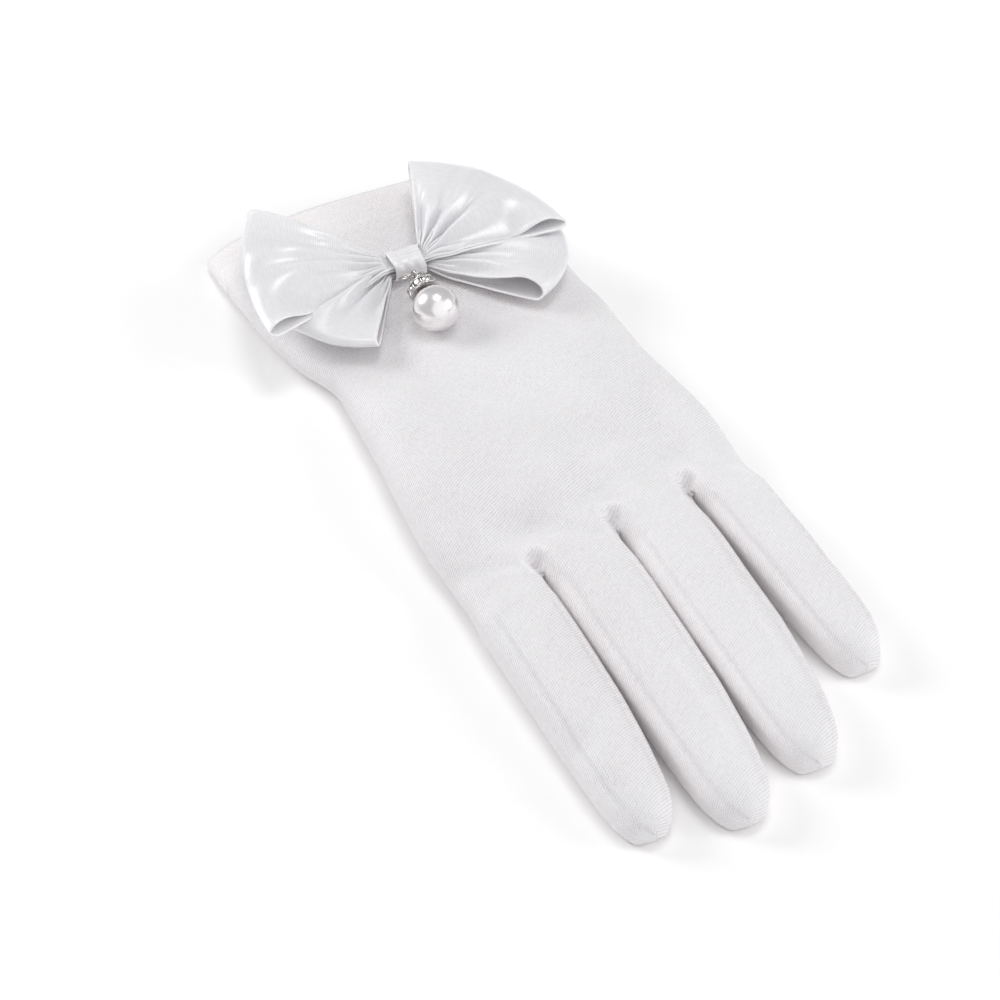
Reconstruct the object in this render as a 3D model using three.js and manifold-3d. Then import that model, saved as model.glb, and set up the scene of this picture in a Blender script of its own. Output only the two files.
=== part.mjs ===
// A child's left-hand dress glove of white satin, wrist length, lying on its palm with the back of the hand up.
// Two crossed ribbon bows are sewn to the back of the wrist, with a bead drop hanging from their knot.
//
// Millimetres, +Z up. The fingers point to -Y, the cuff opens to +Y and the index finger is on the -X side.
// The origin is on the floor, under the middle of the whole object's box.

import * as THREE from "three";
import Module from "manifold-3d";
import { mergeVertices } from "three/addons/utils/BufferGeometryUtils.js";

const wasm = await Module();
wasm.setup();

// Cloth and fit
const clothWall = 1; // satin with its seam allowance
const hemWall = 1.5; // the cuff is turned under, so it is thicker
const hemDepth = 11; // how far the turned cuff reaches up the hand
const seamGap = 0.3; // between sewn pieces
const restGap = 0.3; // between pieces that lie on each other

// The hand, from the cuff to the crotches of the fingers
const handLength = 120; // on the hand's middle line
const cuffWidth = 73;
const waistTake = 8; // the wrist is drawn in by this much of the width
const cuffDepth = 9.5;
const palmDepth = 16.5;
const knuckleDepth = 12.4;
const knuckleSlant = 0.22; // the crotches lie further out on the index side by this share of the width
const palmDrift = 8.3; // the fingers sit this far to the little finger's side of the cuff's middle
const valleyDepth = 1.5; // the back dips between two knuckles
const valleyWidth = 9;

// The fingers
const fingerDepth = 13;
const fingerGap = 1.1; // clear space between two fingers at their roots
const fingerRoot = 19; // hidden length inside the hand
const longestFinger = 80.5; // the middle finger, from its crotch line
const widestFinger = 18.8;

// Seams: the back wraps down to the low seam, and strips between the fingers reach from the low to the high one
const lowSeam = 3.2;
const highSeam = 7.8;
const stripBand = 3.6; // how far in from a finger's side a strip's own cloth is looked for
const stripShort = 9; // a strip ends this far before the fingertip

// The thumb, folded flat under the palm
const thumbLength = 56;
const thumbWidth = 20;
const thumbDepth = 7.4;
const thumbAngle = 17; // degrees, towards the little finger
const thumbInset = 21.5; // from the index side of the hand to the thumb's root
const thumbTipGap = 4.4; // from the thumb's end to the crotch line, along the hand
const thumbHoleLength = 22;
const thumbHoleWidth = 12;

// The bows
const ribbonWall = 1;
const gatherDepth = 1.7; // both layers of one ribbon, pressed into one inside the knot
const layerGap = 0.35; // between the two gathered ribbons
const knotFromCuff = 30;
const knotWidth = 7.4; // along the hand's width
const pinchWidth = 4.2; // gathered width of the ribbons inside the knot
const bandWall = 1;
const bandCorner = 1; // inside radius of the band's corners
const loopReach = 37; // from the knot's middle to a loop's fold
const upperPuff = 5.5; // how far the upper bow's loops puff up
const lowerPuff = 2;
const pleatDepth = 0.75;
const pleatCount = 3;

// The bead drop
const beadDiameter = 10.4;
const boreShare = 0.7; // the bead is bored from the rondelle's side through this share of its diameter
const wireDiameter = 0.7;
const wireClearance = 0.3;
const rondelleDiameter = 7.4;
const rondelleWidth = 2.4;
const flangeWall = 0.5;
const flangeWave = 0.3; // how far the flange's edge waves in and out
const coreDiameter = 5;
const stoneCount = 9;
const stoneDiameter = 1.7;
const stoneHeight = 1.1;
const eyeDiameter = 3.4;
const neckDiameter = 1.5; // the wire's end, wrapped round the pin between its eye and the rondelle
const neckLength = 1.6;
const ringDiameter = 6;
const ringWire = 0.6;
const ringTilt = 38; // degrees: the ring drops from the eye to the knot's foot
const dropSway = -1.2; // the drop hangs this far to the index finger's side of the knot

// Finish
const satin = { color: 0xf4f3f2, roughness: 0.55, metalness: 0 };
const ribbonSatin = { color: 0xf6f5f6, roughness: 0.35, metalness: 0 };
const pearlLacquer = { color: 0xf1eef0, roughness: 0.12, metalness: 0.1 };
const silverPlate = { color: 0xc9c6c2, roughness: 0.22, metalness: 1 };

// The fingers. Columns: share of widestFinger, share of longestFinger, and lean to the little finger's side in
// degrees.
const fingerTable = [
  { name: "index", width: 0.915, length: 0.894, lean: 1.6 },
  { name: "middle", width: 1, length: 1, lean: 1.7 },
  { name: "ring", width: 0.979, length: 0.957, lean: 1.7 },
  { name: "little", width: 0.809, length: 0.758, lean: 5 },
];

// The hand's sections from the cuff. Columns: share of handLength, how far the width has opened from the cuff's
// to the knuckles', share of waistTake, weights of the three depths, and shares of palmDrift, knuckleSlant and
// valleyDepth.
const handSections = [
  { along: 0, open: 0, waist: 0, cuff: 1, palm: 0, knuckle: 0, drift: 0, slant: 0, valley: 0 },
  { along: 0.09, open: 0, waist: 0.03, cuff: 1, palm: 0, knuckle: 0, drift: 0.03, slant: 0, valley: 0 },
  { along: 0.2, open: 0.1, waist: 0.13, cuff: 1, palm: 0, knuckle: 0, drift: 0.1, slant: 0, valley: 0 },
  { along: 0.33, open: 0.2, waist: 0.44, cuff: 0.92, palm: 0.08, knuckle: 0, drift: 0.3, slant: 0, valley: 0 },
  { along: 0.46, open: 0.5, waist: 0.87, cuff: 0.7, palm: 0.3, knuckle: 0, drift: 0.74, slant: 0, valley: 0 },
  { along: 0.6, open: 0.8, waist: 0.8, cuff: 0.2, palm: 0.8, knuckle: 0, drift: 0.7, slant: 0.15, valley: 0.1 },
  { along: 0.75, open: 1, waist: 0.35, cuff: 0, palm: 0.95, knuckle: 0.05, drift: 0.78, slant: 0.45, valley: 0.4 },
  { along: 0.87, open: 1, waist: 0.05, cuff: 0, palm: 0.5, knuckle: 0.5, drift: 0.92, slant: 0.8, valley: 0.9 },
  { along: 0.95, open: 1, waist: 0.1, cuff: 0, palm: 0, knuckle: 1, drift: 1, slant: 0.95, valley: 1.1 },
  { along: 1, open: 1, waist: 0.5, cuff: 0, palm: 0, knuckle: 0.86, drift: 1, slant: 1, valley: 1 },
];

// A finger's sections from its crotch line. Columns: share of its length, of its width and of its depth.
const fingerSections = [
  { along: 0, width: 1, depth: 1 },
  { along: 0.3, width: 1, depth: 0.96 },
  { along: 0.58, width: 0.98, depth: 0.9 },
  { along: 0.76, width: 0.92, depth: 0.84 },
  { along: 0.88, width: 0.81, depth: 0.76 },
  { along: 0.95, width: 0.62, depth: 0.64 },
  { along: 0.985, width: 0.4, depth: 0.5 },
  { along: 1, width: 0.18, depth: 0.36 },
];
const rootSection = { width: 0.86, depth: 0.93 };

// The folded thumb's sections from its root, in the same columns
const thumbSections = [
  { along: 0, width: 0.3, depth: 0.7 },
  { along: 0.04, width: 0.66, depth: 0.92 },
  { along: 0.14, width: 0.94, depth: 1 },
  { along: 0.4, width: 1, depth: 1 },
  { along: 0.68, width: 0.92, depth: 1 },
  { along: 0.86, width: 0.72, depth: 0.9 },
  { along: 0.96, width: 0.44, depth: 0.72 },
  { along: 1, width: 0.14, depth: 0.5 },
];

// The loops of each bow. Headings and spreads are in degrees: a heading of 0 points straight off the hand's side
// and a positive one leans to the cuff. Reaches are shares of loopReach at the two edges and the middle, and
// lift is the share of the puff by which the cuff's edge of the loop stands higher than its middle.
const upperLoops = [
  { side: 1, heading: 32.5, spread: 81, cuffEdge: 0.79, middle: 0.86, fingerEdge: 1.01, lift: 0.28 },
  { side: -1, heading: 13.5, spread: 65, cuffEdge: 1.03, middle: 0.99, fingerEdge: 1.1, lift: 0.25 },
];
const lowerLoops = [
  { side: 1, heading: -22, spread: 54, cuffEdge: 0.97, middle: 1, fingerEdge: 0.9, lift: 0 },
  { side: -1, heading: -29, spread: 62, cuffEdge: 0.86, middle: 0.86, fingerEdge: 0.76, lift: 0 },
];

// A ribbon's way from the knot out over a loop and back under it. Columns: share of the reach, share of the
// puff, and where it lies between the lower layer (0) and the upper layer (1) of the loop.
const loopProfile = [
  { reach: 0, rise: 0, layer: 1 },
  { reach: 0.12, rise: 0.26, layer: 1 },
  { reach: 0.27, rise: 0.62, layer: 1 },
  { reach: 0.46, rise: 0.92, layer: 1 },
  { reach: 0.66, rise: 1, layer: 1 },
  { reach: 0.85, rise: 0.9, layer: 1 },
  { reach: 0.96, rise: 0.72, layer: 0.96 },
  { reach: 1, rise: 0.58, layer: 0.6 },
  { reach: 0.985, rise: 0.46, layer: 0.2 },
  { reach: 0.93, rise: 0.42, layer: 0 },
  { reach: 0.76, rise: 0.46, layer: 0 },
  { reach: 0.52, rise: 0.46, layer: 0 },
  { reach: 0.28, rise: 0.38, layer: 0 },
  { reach: 0.12, rise: 0.2, layer: 0 },
  { reach: 0, rise: 0, layer: 0 },
];

// Shared helpers

const { clamp, degToRad, lerp, smoothstep } = THREE.MathUtils;
const fineness = 0.03; // flatter bumps than this are merged into one facet

// A closed mesh from three.js as a solid of manifold-3d
function solidOf(geometry) {
  const bare = geometry.clone();
  bare.deleteAttribute("normal");
  bare.deleteAttribute("uv");
  const merged = mergeVertices(bare, 1e-4);
  return new wasm.Manifold(
    new wasm.Mesh({
      numProp: 3,
      vertProperties: new Float32Array(merged.attributes.position.array),
      triVerts: new Uint32Array(merged.index.array),
    }),
  );
}

// A solid of manifold-3d as a named mesh
function meshOf(solid, name, finish) {
  const made = solid.simplify(fineness).getMesh();
  const geometry = new THREE.BufferGeometry();
  geometry.setAttribute("position", new THREE.BufferAttribute(made.vertProperties, 3));
  geometry.setIndex(new THREE.BufferAttribute(made.triVerts, 1));
  geometry.computeVertexNormals();
  const mesh = new THREE.Mesh(geometry, new THREE.MeshStandardMaterial(finish));
  mesh.name = name;
  return mesh;
}

// Rows of points joined into one closed surface: each row is a ring of an even count, and at both ends the
// first half of the ring is laced to its second half
function skin(rings) {
  const count = rings[0].length;
  const faces = [];
  for (let i = 0; i < rings.length - 1; i++) {
    for (let j = 0; j < count; j++) {
      const next = (j + 1) % count;
      const [near, far] = [i * count, (i + 1) * count];
      faces.push(near + j, far + j, far + next, near + j, far + next, near + next);
    }
  }
  const last = (rings.length - 1) * count;
  for (let j = 0; j < count / 2 - 1; j++) {
    const [a, b, c, d] = [j, j + 1, count - 2 - j, count - 1 - j];
    faces.push(a, b, c, a, c, d);
    faces.push(last + b, last + a, last + c, last + c, last + a, last + d);
  }
  const geometry = new THREE.BufferGeometry().setFromPoints(rings.flat());
  geometry.setIndex(faces);
  const solid = solidOf(geometry);
  if (solid.volume() > 0) return solid;
  for (let i = 0; i < faces.length; i += 3) [faces[i], faces[i + 1]] = [faces[i + 1], faces[i]];
  geometry.setIndex(faces);
  return solidOf(geometry);
}

// A block between two heights over a polygon in plan, given as [x, y] pairs
function prism(outline, low, high) {
  const shape = new THREE.Shape(outline.map(([x, y]) => new THREE.Vector2(x, y)));
  const geometry = new THREE.ExtrudeGeometry(shape, { depth: high - low, bevelEnabled: false });
  return solidOf(geometry.translate(0, 0, low));
}

// A layer that is wider than the glove, between two heights
function layer(low, high) {
  const reach = handLength * 4;
  return solidOf(new THREE.BoxGeometry(reach, reach, high - low).translate(0, 0, (high + low) / 2));
}

// Cross-sections

const widestShare = 0.42; // a section is widest at this share of its height
const topRoundness = 2.5;
const sideRoundness = 2.6;
const floorRoundness = 5;
const floorFlat = 1.14; // above 1, the underside has a true flat

// A soft section with a flat underside, as [across, up] pairs
function softSection(halfWidth, bottom, top, count) {
  const widest = lerp(bottom, top, widestShare);
  return Array.from({ length: count }, (_, i) => {
    const angle = (2 * Math.PI * (i + 0.5)) / count;
    const across = Math.cos(angle);
    const room = 1 - Math.abs(across) ** sideRoundness;
    const up = Math.sin(angle) > 0;
    const down = Math.min(1, floorFlat * room ** (1 / floorRoundness));
    return [
      halfWidth * across,
      up ? widest + (top - widest) * room ** (1 / topRoundness) : widest - (widest - bottom) * down,
    ];
  });
}

// The fingers

const fingers = fingerTable.map((row) => ({
  ...row,
  width: row.width * widestFinger,
  length: row.length * longestFinger,
}));
const knuckleWidth = fingers.reduce((sum, finger) => sum + finger.width + fingerGap, -fingerGap);
const handPoints = 32;
const fingerPoints = 16;

// The crotch line, where the hand ends and the fingers begin
function crotchY(x) {
  return -handLength + knuckleSlant * (x - palmDrift);
}

const layout = fingers.map((finger, i) => {
  const before = fingers.slice(0, i).reduce((sum, { width }) => sum + width + fingerGap, 0);
  const x = palmDrift - knuckleWidth / 2 + before + finger.width / 2;
  return { ...finger, x, y: crotchY(x), turn: degToRad(finger.lean) };
});

// A place on a finger: along from its crotch line, and across its width
function onFinger(finger, along, across) {
  return [
    finger.x + along * Math.sin(finger.turn) + across * Math.cos(finger.turn),
    finger.y - along * Math.cos(finger.turn) + across * Math.sin(finger.turn),
  ];
}

function fingerSkin(finger, inset) {
  const root = { along: -fingerRoot / finger.length, ...rootSection };
  const rings = [root, ...fingerSections].map((row, i, all) => {
    const tip = i === all.length - 1;
    const along = row.along * finger.length - (tip ? inset : 0);
    const halfWidth = Math.max((row.width * finger.width) / 2 - inset, clothWall / 3);
    const top = Math.max(row.depth * fingerDepth - inset, inset + clothWall / 2);
    return softSection(halfWidth, inset, top, fingerPoints).map(([across, z]) => {
      const [x, y] = onFinger(finger, along, across);
      return new THREE.Vector3(x, y, z);
    });
  });
  return skin(rings);
}

// The hand

const pairs = layout.slice(1).map((right, i) => ({ left: layout[i], right }));

function depthOf(row) {
  return row.cuff * cuffDepth + row.palm * palmDepth + row.knuckle * knuckleDepth;
}

// How far a place across the hand lies in a valley between two knuckles, from 0 to 1
function valleyAt(x) {
  const middles = pairs.map(({ left }) => left.x + (left.width + fingerGap) / 2);
  const nearest = Math.min(...middles.map((middle) => Math.abs(x - middle)));
  return 1 - smoothstep(nearest, 0, valleyWidth);
}

function handRings(inset, endInset) {
  return handSections.map((row, i) => {
    const width = lerp(cuffWidth, knuckleWidth, row.open) - row.waist * waistTake;
    const middle = row.drift * palmDrift;
    const depth = depthOf(row);
    const y = -row.along * handLength + (i === handSections.length - 1 ? endInset : 0);
    return softSection(width / 2 - inset, inset, depth - inset, handPoints).map(([across, z]) => {
      const x = middle + across;
      const dip = valleyDepth * row.valley * valleyAt(x) * smoothstep(z, depth / 2, depth - inset * 2);
      return new THREE.Vector3(x, y + row.slant * knuckleSlant * across, z - dip);
    });
  });
}

// Height of the back of the hand on its ridge, at a place along Y
function handTop(y) {
  const along = clamp(-y / handLength, 0, 1);
  const next = Math.max(1, handSections.findIndex((row) => row.along >= along));
  const [a, b] = [handSections[next - 1], handSections[next]];
  return lerp(depthOf(a), depthOf(b), (along - a.along) / (b.along - a.along));
}

// The thumb lies in a hollow of the palm, which keeps the seam's gap to it

const thumbTurn = degToRad(thumbAngle);
const thumbX = -cuffWidth / 2 + thumbInset;
const thumbRoot = handLength - thumbTipGap - thumbLength * Math.cos(thumbTurn); // from the cuff
const thumbPoints = 16;
const holeAlong = 0.3; // middle of the thumb's hole, as a share of its length
const holePoints = 14;

function onThumb(along, across) {
  return [
    thumbX + along * Math.sin(thumbTurn) + across * Math.cos(thumbTurn),
    -thumbRoot - along * Math.cos(thumbTurn) + across * Math.sin(thumbTurn),
  ];
}

function thumbRings(grow, sectionOf) {
  return thumbSections.map((row, i) => {
    const tips = i === 0 ? -grow : i === thumbSections.length - 1 ? grow : 0;
    const along = row.along * thumbLength + tips;
    const halfWidth = Math.max((row.width * thumbWidth) / 2 + grow, clothWall / 3);
    return sectionOf(halfWidth, row.depth * thumbDepth).map(([across, z]) => {
      const [x, y] = onThumb(along, across);
      return new THREE.Vector3(x, y, z);
    });
  });
}

function thumbSkin(inset) {
  return skin(
    thumbRings(-inset, (halfWidth, depth) =>
      softSection(halfWidth, inset, Math.max(depth - inset, inset + clothWall / 2), thumbPoints),
    ),
  );
}

// The space that the folded thumb takes from below, grown by a margin on its sides and top
function thumbHollow(grow, floor) {
  return skin(
    thumbRings(grow, (halfWidth, depth) =>
      softSection(halfWidth, -grow, depth + grow, thumbPoints).map(([x, z], i) =>
        i < thumbPoints / 2 ? [x, z] : [Math.sign(x) * halfWidth, z < 1 ? floor : z],
      ),
    ),
  );
}

// The hole through which the thumb joins the hand
function thumbHole(low, high) {
  const rim = Array.from({ length: holePoints }, (_, i) => {
    const angle = (2 * Math.PI * i) / holePoints;
    const along = thumbLength * holeAlong + (Math.cos(angle) * thumbHoleLength) / 2;
    return onThumb(along, (Math.sin(angle) * thumbHoleWidth) / 2);
  });
  return prism(rim, low, high);
}

// The whole glove as one wall, before its seams are cut

const below = -3;
const above = palmDepth * 2;
const outer = layout.reduce((sum, finger) => sum.add(fingerSkin(finger, 0)), skin(handRings(0, 0)));
const inner = layout.reduce(
  (sum, finger) => sum.add(fingerSkin(finger, clothWall)),
  skin(handRings(clothWall, clothWall)),
);
const mouthRing = handRings(hemWall, 0)[0];
const mouth = skin(
  [hemDepth / 4, -hemDepth].map((y) => mouthRing.map((point) => new THREE.Vector3(point.x, y, point.z))),
);
const hem = prism(
  [
    [-cuffWidth, hemDepth],
    [cuffWidth, hemDepth],
    [cuffWidth, -hemDepth],
    [-cuffWidth, -hemDepth],
  ],
  below,
  above,
);
const room = inner
  .subtract(hem)
  .add(mouth.intersect(hem))
  .subtract(thumbHollow(seamGap + clothWall, below));
const glove = outer
  .subtract(thumbHollow(seamGap, below))
  .subtract(room)
  .subtract(thumbHole(clothWall * 2, thumbDepth + clothWall * 3));

// Cut the wall along its seams

const halfSeam = seamGap / 2;

// The sides of two neighbouring fingers and the crotch between them, in plan
function stripPlan(left, right, grow) {
  const top = highSeam + grow;
  const sides = [
    [left, 1],
    [right, -1],
  ].map(([finger, side]) => {
    const inside = side * (finger.width / 2 - stripBand - grow);
    const outside = side * (finger.width / 2 + fingerGap / 2);
    const end = finger.length - stripShort + grow;
    const corners = [
      onFinger(finger, 0, inside),
      onFinger(finger, 0, outside),
      onFinger(finger, end, outside),
      onFinger(finger, end, inside),
    ];
    return prism(corners, below, top);
  });
  const from = onFinger(left, 0, left.width / 2 - stripBand - grow);
  const to = onFinger(right, 0, -(right.width / 2 - stripBand - grow));
  const back = clothWall * 2 + grow;
  const crotch = [
    [from[0], from[1] - back],
    [to[0], to[1] - back],
    [to[0], to[1] + back],
    [from[0], from[1] + back],
  ];
  return sides[0].add(sides[1]).add(prism(crotch, below, top));
}

const aboveLowSeam = layer(lowSeam + halfSeam, above);
const belowLowSeam = layer(below * 2, lowSeam - halfSeam);
const thumbMargin = seamGap + clothWall * 1.5;
const thumbZone = thumbHollow(thumbMargin, below).intersect(layer(below * 2, thumbDepth + thumbMargin));
const backPanel = pairs.reduce(
  (panel, { left, right }) => panel.subtract(stripPlan(left, right, halfSeam)),
  glove.intersect(aboveLowSeam).subtract(thumbZone),
);
const palmPanel = glove.intersect(belowLowSeam.add(thumbZone));
const strips = pairs.map(({ left, right }) => ({
  name: `fourchette_${left.name}_${right.name}`,
  solid: glove.intersect(aboveLowSeam).intersect(stripPlan(left, right, -halfSeam)),
}));
const thumbWall = thumbSkin(0)
  .subtract(thumbSkin(clothWall))
  .subtract(thumbHole(thumbDepth - clothWall * 1.4, thumbDepth * 2));

// The bows: each is one ribbon, which runs over the knot, out round one loop, back under the knot and round the
// other loop. Both are gathered inside the knot's band.

const knotY = -knotFromCuff;
const bandReach = pinchWidth / 2 + seamGap * 1.5 + bandWall; // from the knot's middle to the band's outside, along Y
const bandFloor = handTop(knotY - bandReach) + restGap;
const stackFloor = bandFloor + bandWall + seamGap; // under the lowest gathered layer
const bandTop = stackFloor + gatherDepth * 2 + layerGap + seamGap + bandWall;
const acrossSteps = 14;

const lowerBow = { loops: lowerLoops, order: 0, puff: lowerPuff, under: -0.4, gather: 0.5 };
const upperBow = { loops: upperLoops, order: 1, puff: upperPuff, under: 1, gather: 1 };

// The middle of a ribbon's cloth inside the knot: layer is 0 for its lower and 1 for its upper layer
function gathered(bow, layer, across) {
  const floor = stackFloor + bow.order * (gatherDepth + layerGap) + ribbonWall / 2;
  return { offset: (across * pinchWidth) / 2, z: floor + layer * (gatherDepth - ribbonWall) };
}

// The middle of the ribbon on a loop: step is a row of loopProfile, across runs from -1 at the finger's edge to 1
function ribbonPoint(bow, loop, step, across) {
  const angle = degToRad(loop.heading + (across * loop.spread) / 2);
  const tilt = ((loop.cuffEdge - loop.fingerEdge) / 2) * across;
  const bulge = ((loop.cuffEdge + loop.fingerEdge) / 2 - loop.middle) * across ** 2;
  const exit = knotWidth / 2 + seamGap * 2;
  const reach = step.reach * (loopReach - exit) * (loop.middle + tilt + bulge);
  const start = gathered(bow, step.layer, across);
  const x = loop.side * (exit + reach * Math.cos(angle));
  const y = knotY + start.offset * (1 - step.reach / 2) + reach * Math.sin(angle);
  const settled = smoothstep(step.reach, 0, 0.5);
  const ground = settled * (handTop(y) - handTop(knotY));
  const puff = step.rise * bow.puff * lerp(bow.under, 1, step.layer);
  const lift = loop.lift * across * step.reach * step.layer * bow.puff;
  const swell = Math.sin(Math.PI * step.reach ** 0.7) * lerp(0.3, 1, step.layer) * bow.gather;
  const pleat = pleatDepth * swell * Math.cos(Math.PI * pleatCount * across);
  return new THREE.Vector3(x, y, start.z + ground + puff + lift + pleat);
}

function ribbonBow(bow) {
  const [right, left] = bow.loops;
  const steps = Array.from({ length: acrossSteps + 1 }, (_, j) => (2 * j) / acrossSteps - 1);
  const loopRow = (loop) => (step) => steps.map((across) => ribbonPoint(bow, loop, step, across));
  const knotRow = (layer) =>
    steps.map((across) => {
      const { offset, z } = gathered(bow, layer, across);
      return new THREE.Vector3(0, knotY + offset, z);
    });
  const rows = [
    knotRow(1),
    ...loopProfile.map(loopRow(right)),
    knotRow(0),
    ...loopProfile.map(loopRow(left)).reverse(),
  ];
  const rings = rows.map((points, i) => {
    const before = rows.at(i - 1);
    const after = rows[(i + 1) % rows.length];
    const faces = points.map((point, j) => {
      const along = after[j].clone().sub(before[j]);
      const over = points[Math.min(j + 1, acrossSteps)].clone().sub(points[Math.max(j - 1, 0)]);
      const out = along.cross(over).setLength(ribbonWall / 2);
      return { top: point.clone().add(out), under: point.clone().sub(out) };
    });
    return [...faces.map(({ top }) => top), ...faces.map(({ under }) => under).reverse()];
  });
  // the layer over the knot and the layer under it meet in the rows of their folds
  const rightFold = 1 + loopProfile.findIndex((step) => step.reach === 1);
  const leftFold = rings.length - rightFold;
  const under = skin(rings.slice(rightFold, leftFold + 1));
  const over = skin([...rings.slice(leftFold), ...rings.slice(0, rightFold + 1)]);
  return under.add(over);
}

// The knot's band goes round the gathered ribbons

function roundedBox(path, halfY, low, high, radius) {
  path.moveTo(-halfY + radius, low);
  path.lineTo(halfY - radius, low);
  path.absarc(halfY - radius, low + radius, radius, -Math.PI / 2, 0, false);
  path.absarc(halfY - radius, high - radius, radius, 0, Math.PI / 2, false);
  path.absarc(-halfY + radius, high - radius, radius, Math.PI / 2, Math.PI, false);
  path.absarc(-halfY + radius, low + radius, radius, Math.PI, 1.5 * Math.PI, false);
  return path;
}

function knotBand() {
  const shape = roundedBox(new THREE.Shape(), bandReach, bandFloor, bandTop, bandCorner + bandWall);
  const inside = [bandReach - bandWall, bandFloor + bandWall, bandTop - bandWall, bandCorner];
  shape.holes.push(roundedBox(new THREE.Path(), ...inside));
  const band = new THREE.ExtrudeGeometry(shape, { depth: knotWidth, bevelEnabled: false, curveSegments: 5 });
  band.translate(0, 0, -knotWidth / 2);
  // the shape's own X runs along the part's Y, its Y runs up, and the band's width runs along X
  return solidOf(band.applyMatrix4(new THREE.Matrix4().set(0, 0, 1, 0, 1, 0, 0, knotY, 0, 1, 0, 0, 0, 0, 0, 1)));
}

// The drop is built along -Y from the knot's front face, at the height of the bead, which lies on the hand

const ringTurn = degToRad(ringTilt);
const ringRadius = (ringDiameter - ringWire) / 2;
const ringReach = ringRadius * Math.cos(ringTurn);
const eyeRadius = (eyeDiameter - wireDiameter) / 2;
const ringY = -seamGap - ringWire / 2 - ringReach;
const eyeY = ringY - ringReach;
const neckStart = eyeY - eyeRadius;
const neckEnd = eyeY - eyeDiameter / 2 - neckLength;
const rondelleY = neckEnd - restGap - rondelleWidth / 2;
const beadY = rondelleY - rondelleWidth / 2 - restGap - beadDiameter / 2;
const boreEnd = beadY + beadDiameter * (0.5 - boreShare);
const boreRadius = wireDiameter / 2 + wireClearance;
const boreSides = 8;
const dropY = knotY - bandReach;
const dropZ = handTop(dropY + beadY) + restGap + beadDiameter / 2;

function rod(radius, from, to, sides) {
  const length = Math.abs(from - to);
  return solidOf(new THREE.CylinderGeometry(radius, radius, length, sides).translate(0, (from + to) / 2, 0));
}

function sewnRing() {
  const ring = new THREE.TorusGeometry(ringRadius, ringWire / 2, 6, 16).rotateX(-ringTurn);
  return solidOf(ring.translate(0, ringY, -ringRadius * Math.sin(ringTurn)));
}

function eyePin() {
  const eye = new THREE.TorusGeometry(eyeRadius, wireDiameter / 2, 6, 14).rotateY(Math.PI / 2);
  return solidOf(eye.translate(0, eyeY, 0))
    .add(rod(wireDiameter / 2, neckStart, boreEnd + wireClearance, 6))
    .add(rod(neckDiameter / 2, eyeY - eyeDiameter / 2, neckEnd, 8));
}

function bead() {
  const ball = solidOf(new THREE.SphereGeometry(beadDiameter / 2, 18, 12).translate(0, beadY, 0));
  return ball.subtract(rod(boreRadius, beadY + beadDiameter, boreEnd, boreSides));
}

// A core between two flanges with waved edges, with cut stones round it
function rondelle() {
  const half = rondelleWidth / 2;
  const wavePoints = stoneCount * 4;
  const wave = Array.from({ length: wavePoints }, (_, i) => {
    const angle = (2 * Math.PI * i) / wavePoints;
    const radius = rondelleDiameter / 2 - (flangeWave * (1 + Math.cos(angle * stoneCount))) / 2;
    return [radius * Math.cos(angle), radius * Math.sin(angle)];
  });
  const flange = prism(wave, -half, flangeWall - half);
  const spool = flange.add(flange.translate([0, 0, rondelleWidth - flangeWall])).rotate([90, 0, 0]);
  const stoneBase = coreDiameter / 2 - stoneHeight / 2;
  const girdle = new THREE.CylinderGeometry(stoneDiameter / 2, stoneDiameter / 2, stoneHeight, 8);
  const crown = new THREE.CylinderGeometry(stoneDiameter / 4, stoneDiameter / 2, stoneHeight / 2, 8);
  const stone = solidOf(girdle.translate(0, stoneBase + stoneHeight / 2, 0))
    .add(solidOf(crown.translate(0, stoneBase + stoneHeight * 1.25, 0)))
    .rotate([0, 0, 90]);
  let made = spool.add(rod(coreDiameter / 2, -half, half, 18));
  for (let i = 0; i < stoneCount; i++) {
    made = made.add(stone.rotate([0, (360 * i) / stoneCount, 0]));
  }
  return made.subtract(rod(boreRadius, -rondelleWidth, rondelleWidth, boreSides)).translate([0, rondelleY, 0]);
}

const drop = new THREE.Group();
drop.add(
  meshOf(sewnRing(), "sewn_ring", silverPlate),
  meshOf(eyePin(), "eye_pin", silverPlate),
  meshOf(rondelle(), "rondelle", silverPlate),
  meshOf(bead(), "bead", pearlLacquer),
);
drop.position.set(dropSway, dropY, dropZ);

// The whole glove, with its origin under the middle of its box

const dressGlove = new THREE.Group();
dressGlove.add(
  meshOf(backPanel, "back_panel", satin),
  meshOf(palmPanel, "palm_panel", satin),
  meshOf(thumbWall, "thumb", satin),
  ...strips.map((strip) => meshOf(strip.solid, strip.name, satin)),
  meshOf(ribbonBow(lowerBow), "lower_bow", ribbonSatin),
  meshOf(ribbonBow(upperBow), "upper_bow", ribbonSatin),
  meshOf(knotBand(), "knot_band", ribbonSatin),
  drop,
);
const box = new THREE.Box3().setFromObject(dressGlove, true);
dressGlove.position.set(-(box.min.x + box.max.x) / 2, -(box.min.y + box.max.y) / 2, -box.min.z);

export default dressGlove;
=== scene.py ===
# A child's white satin dress glove, lying on its palm with the back of the hand up. Two crossed ribbon bows
# are sewn to the back of the wrist, and a bead drop hangs from their knot.
# Lengths in the dictionaries are millimetres. Places are measured from the middle of the cuff's edge, with
# the fingers to -Y.

import math

import bpy
import numpy as np
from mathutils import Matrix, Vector, noise


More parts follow.
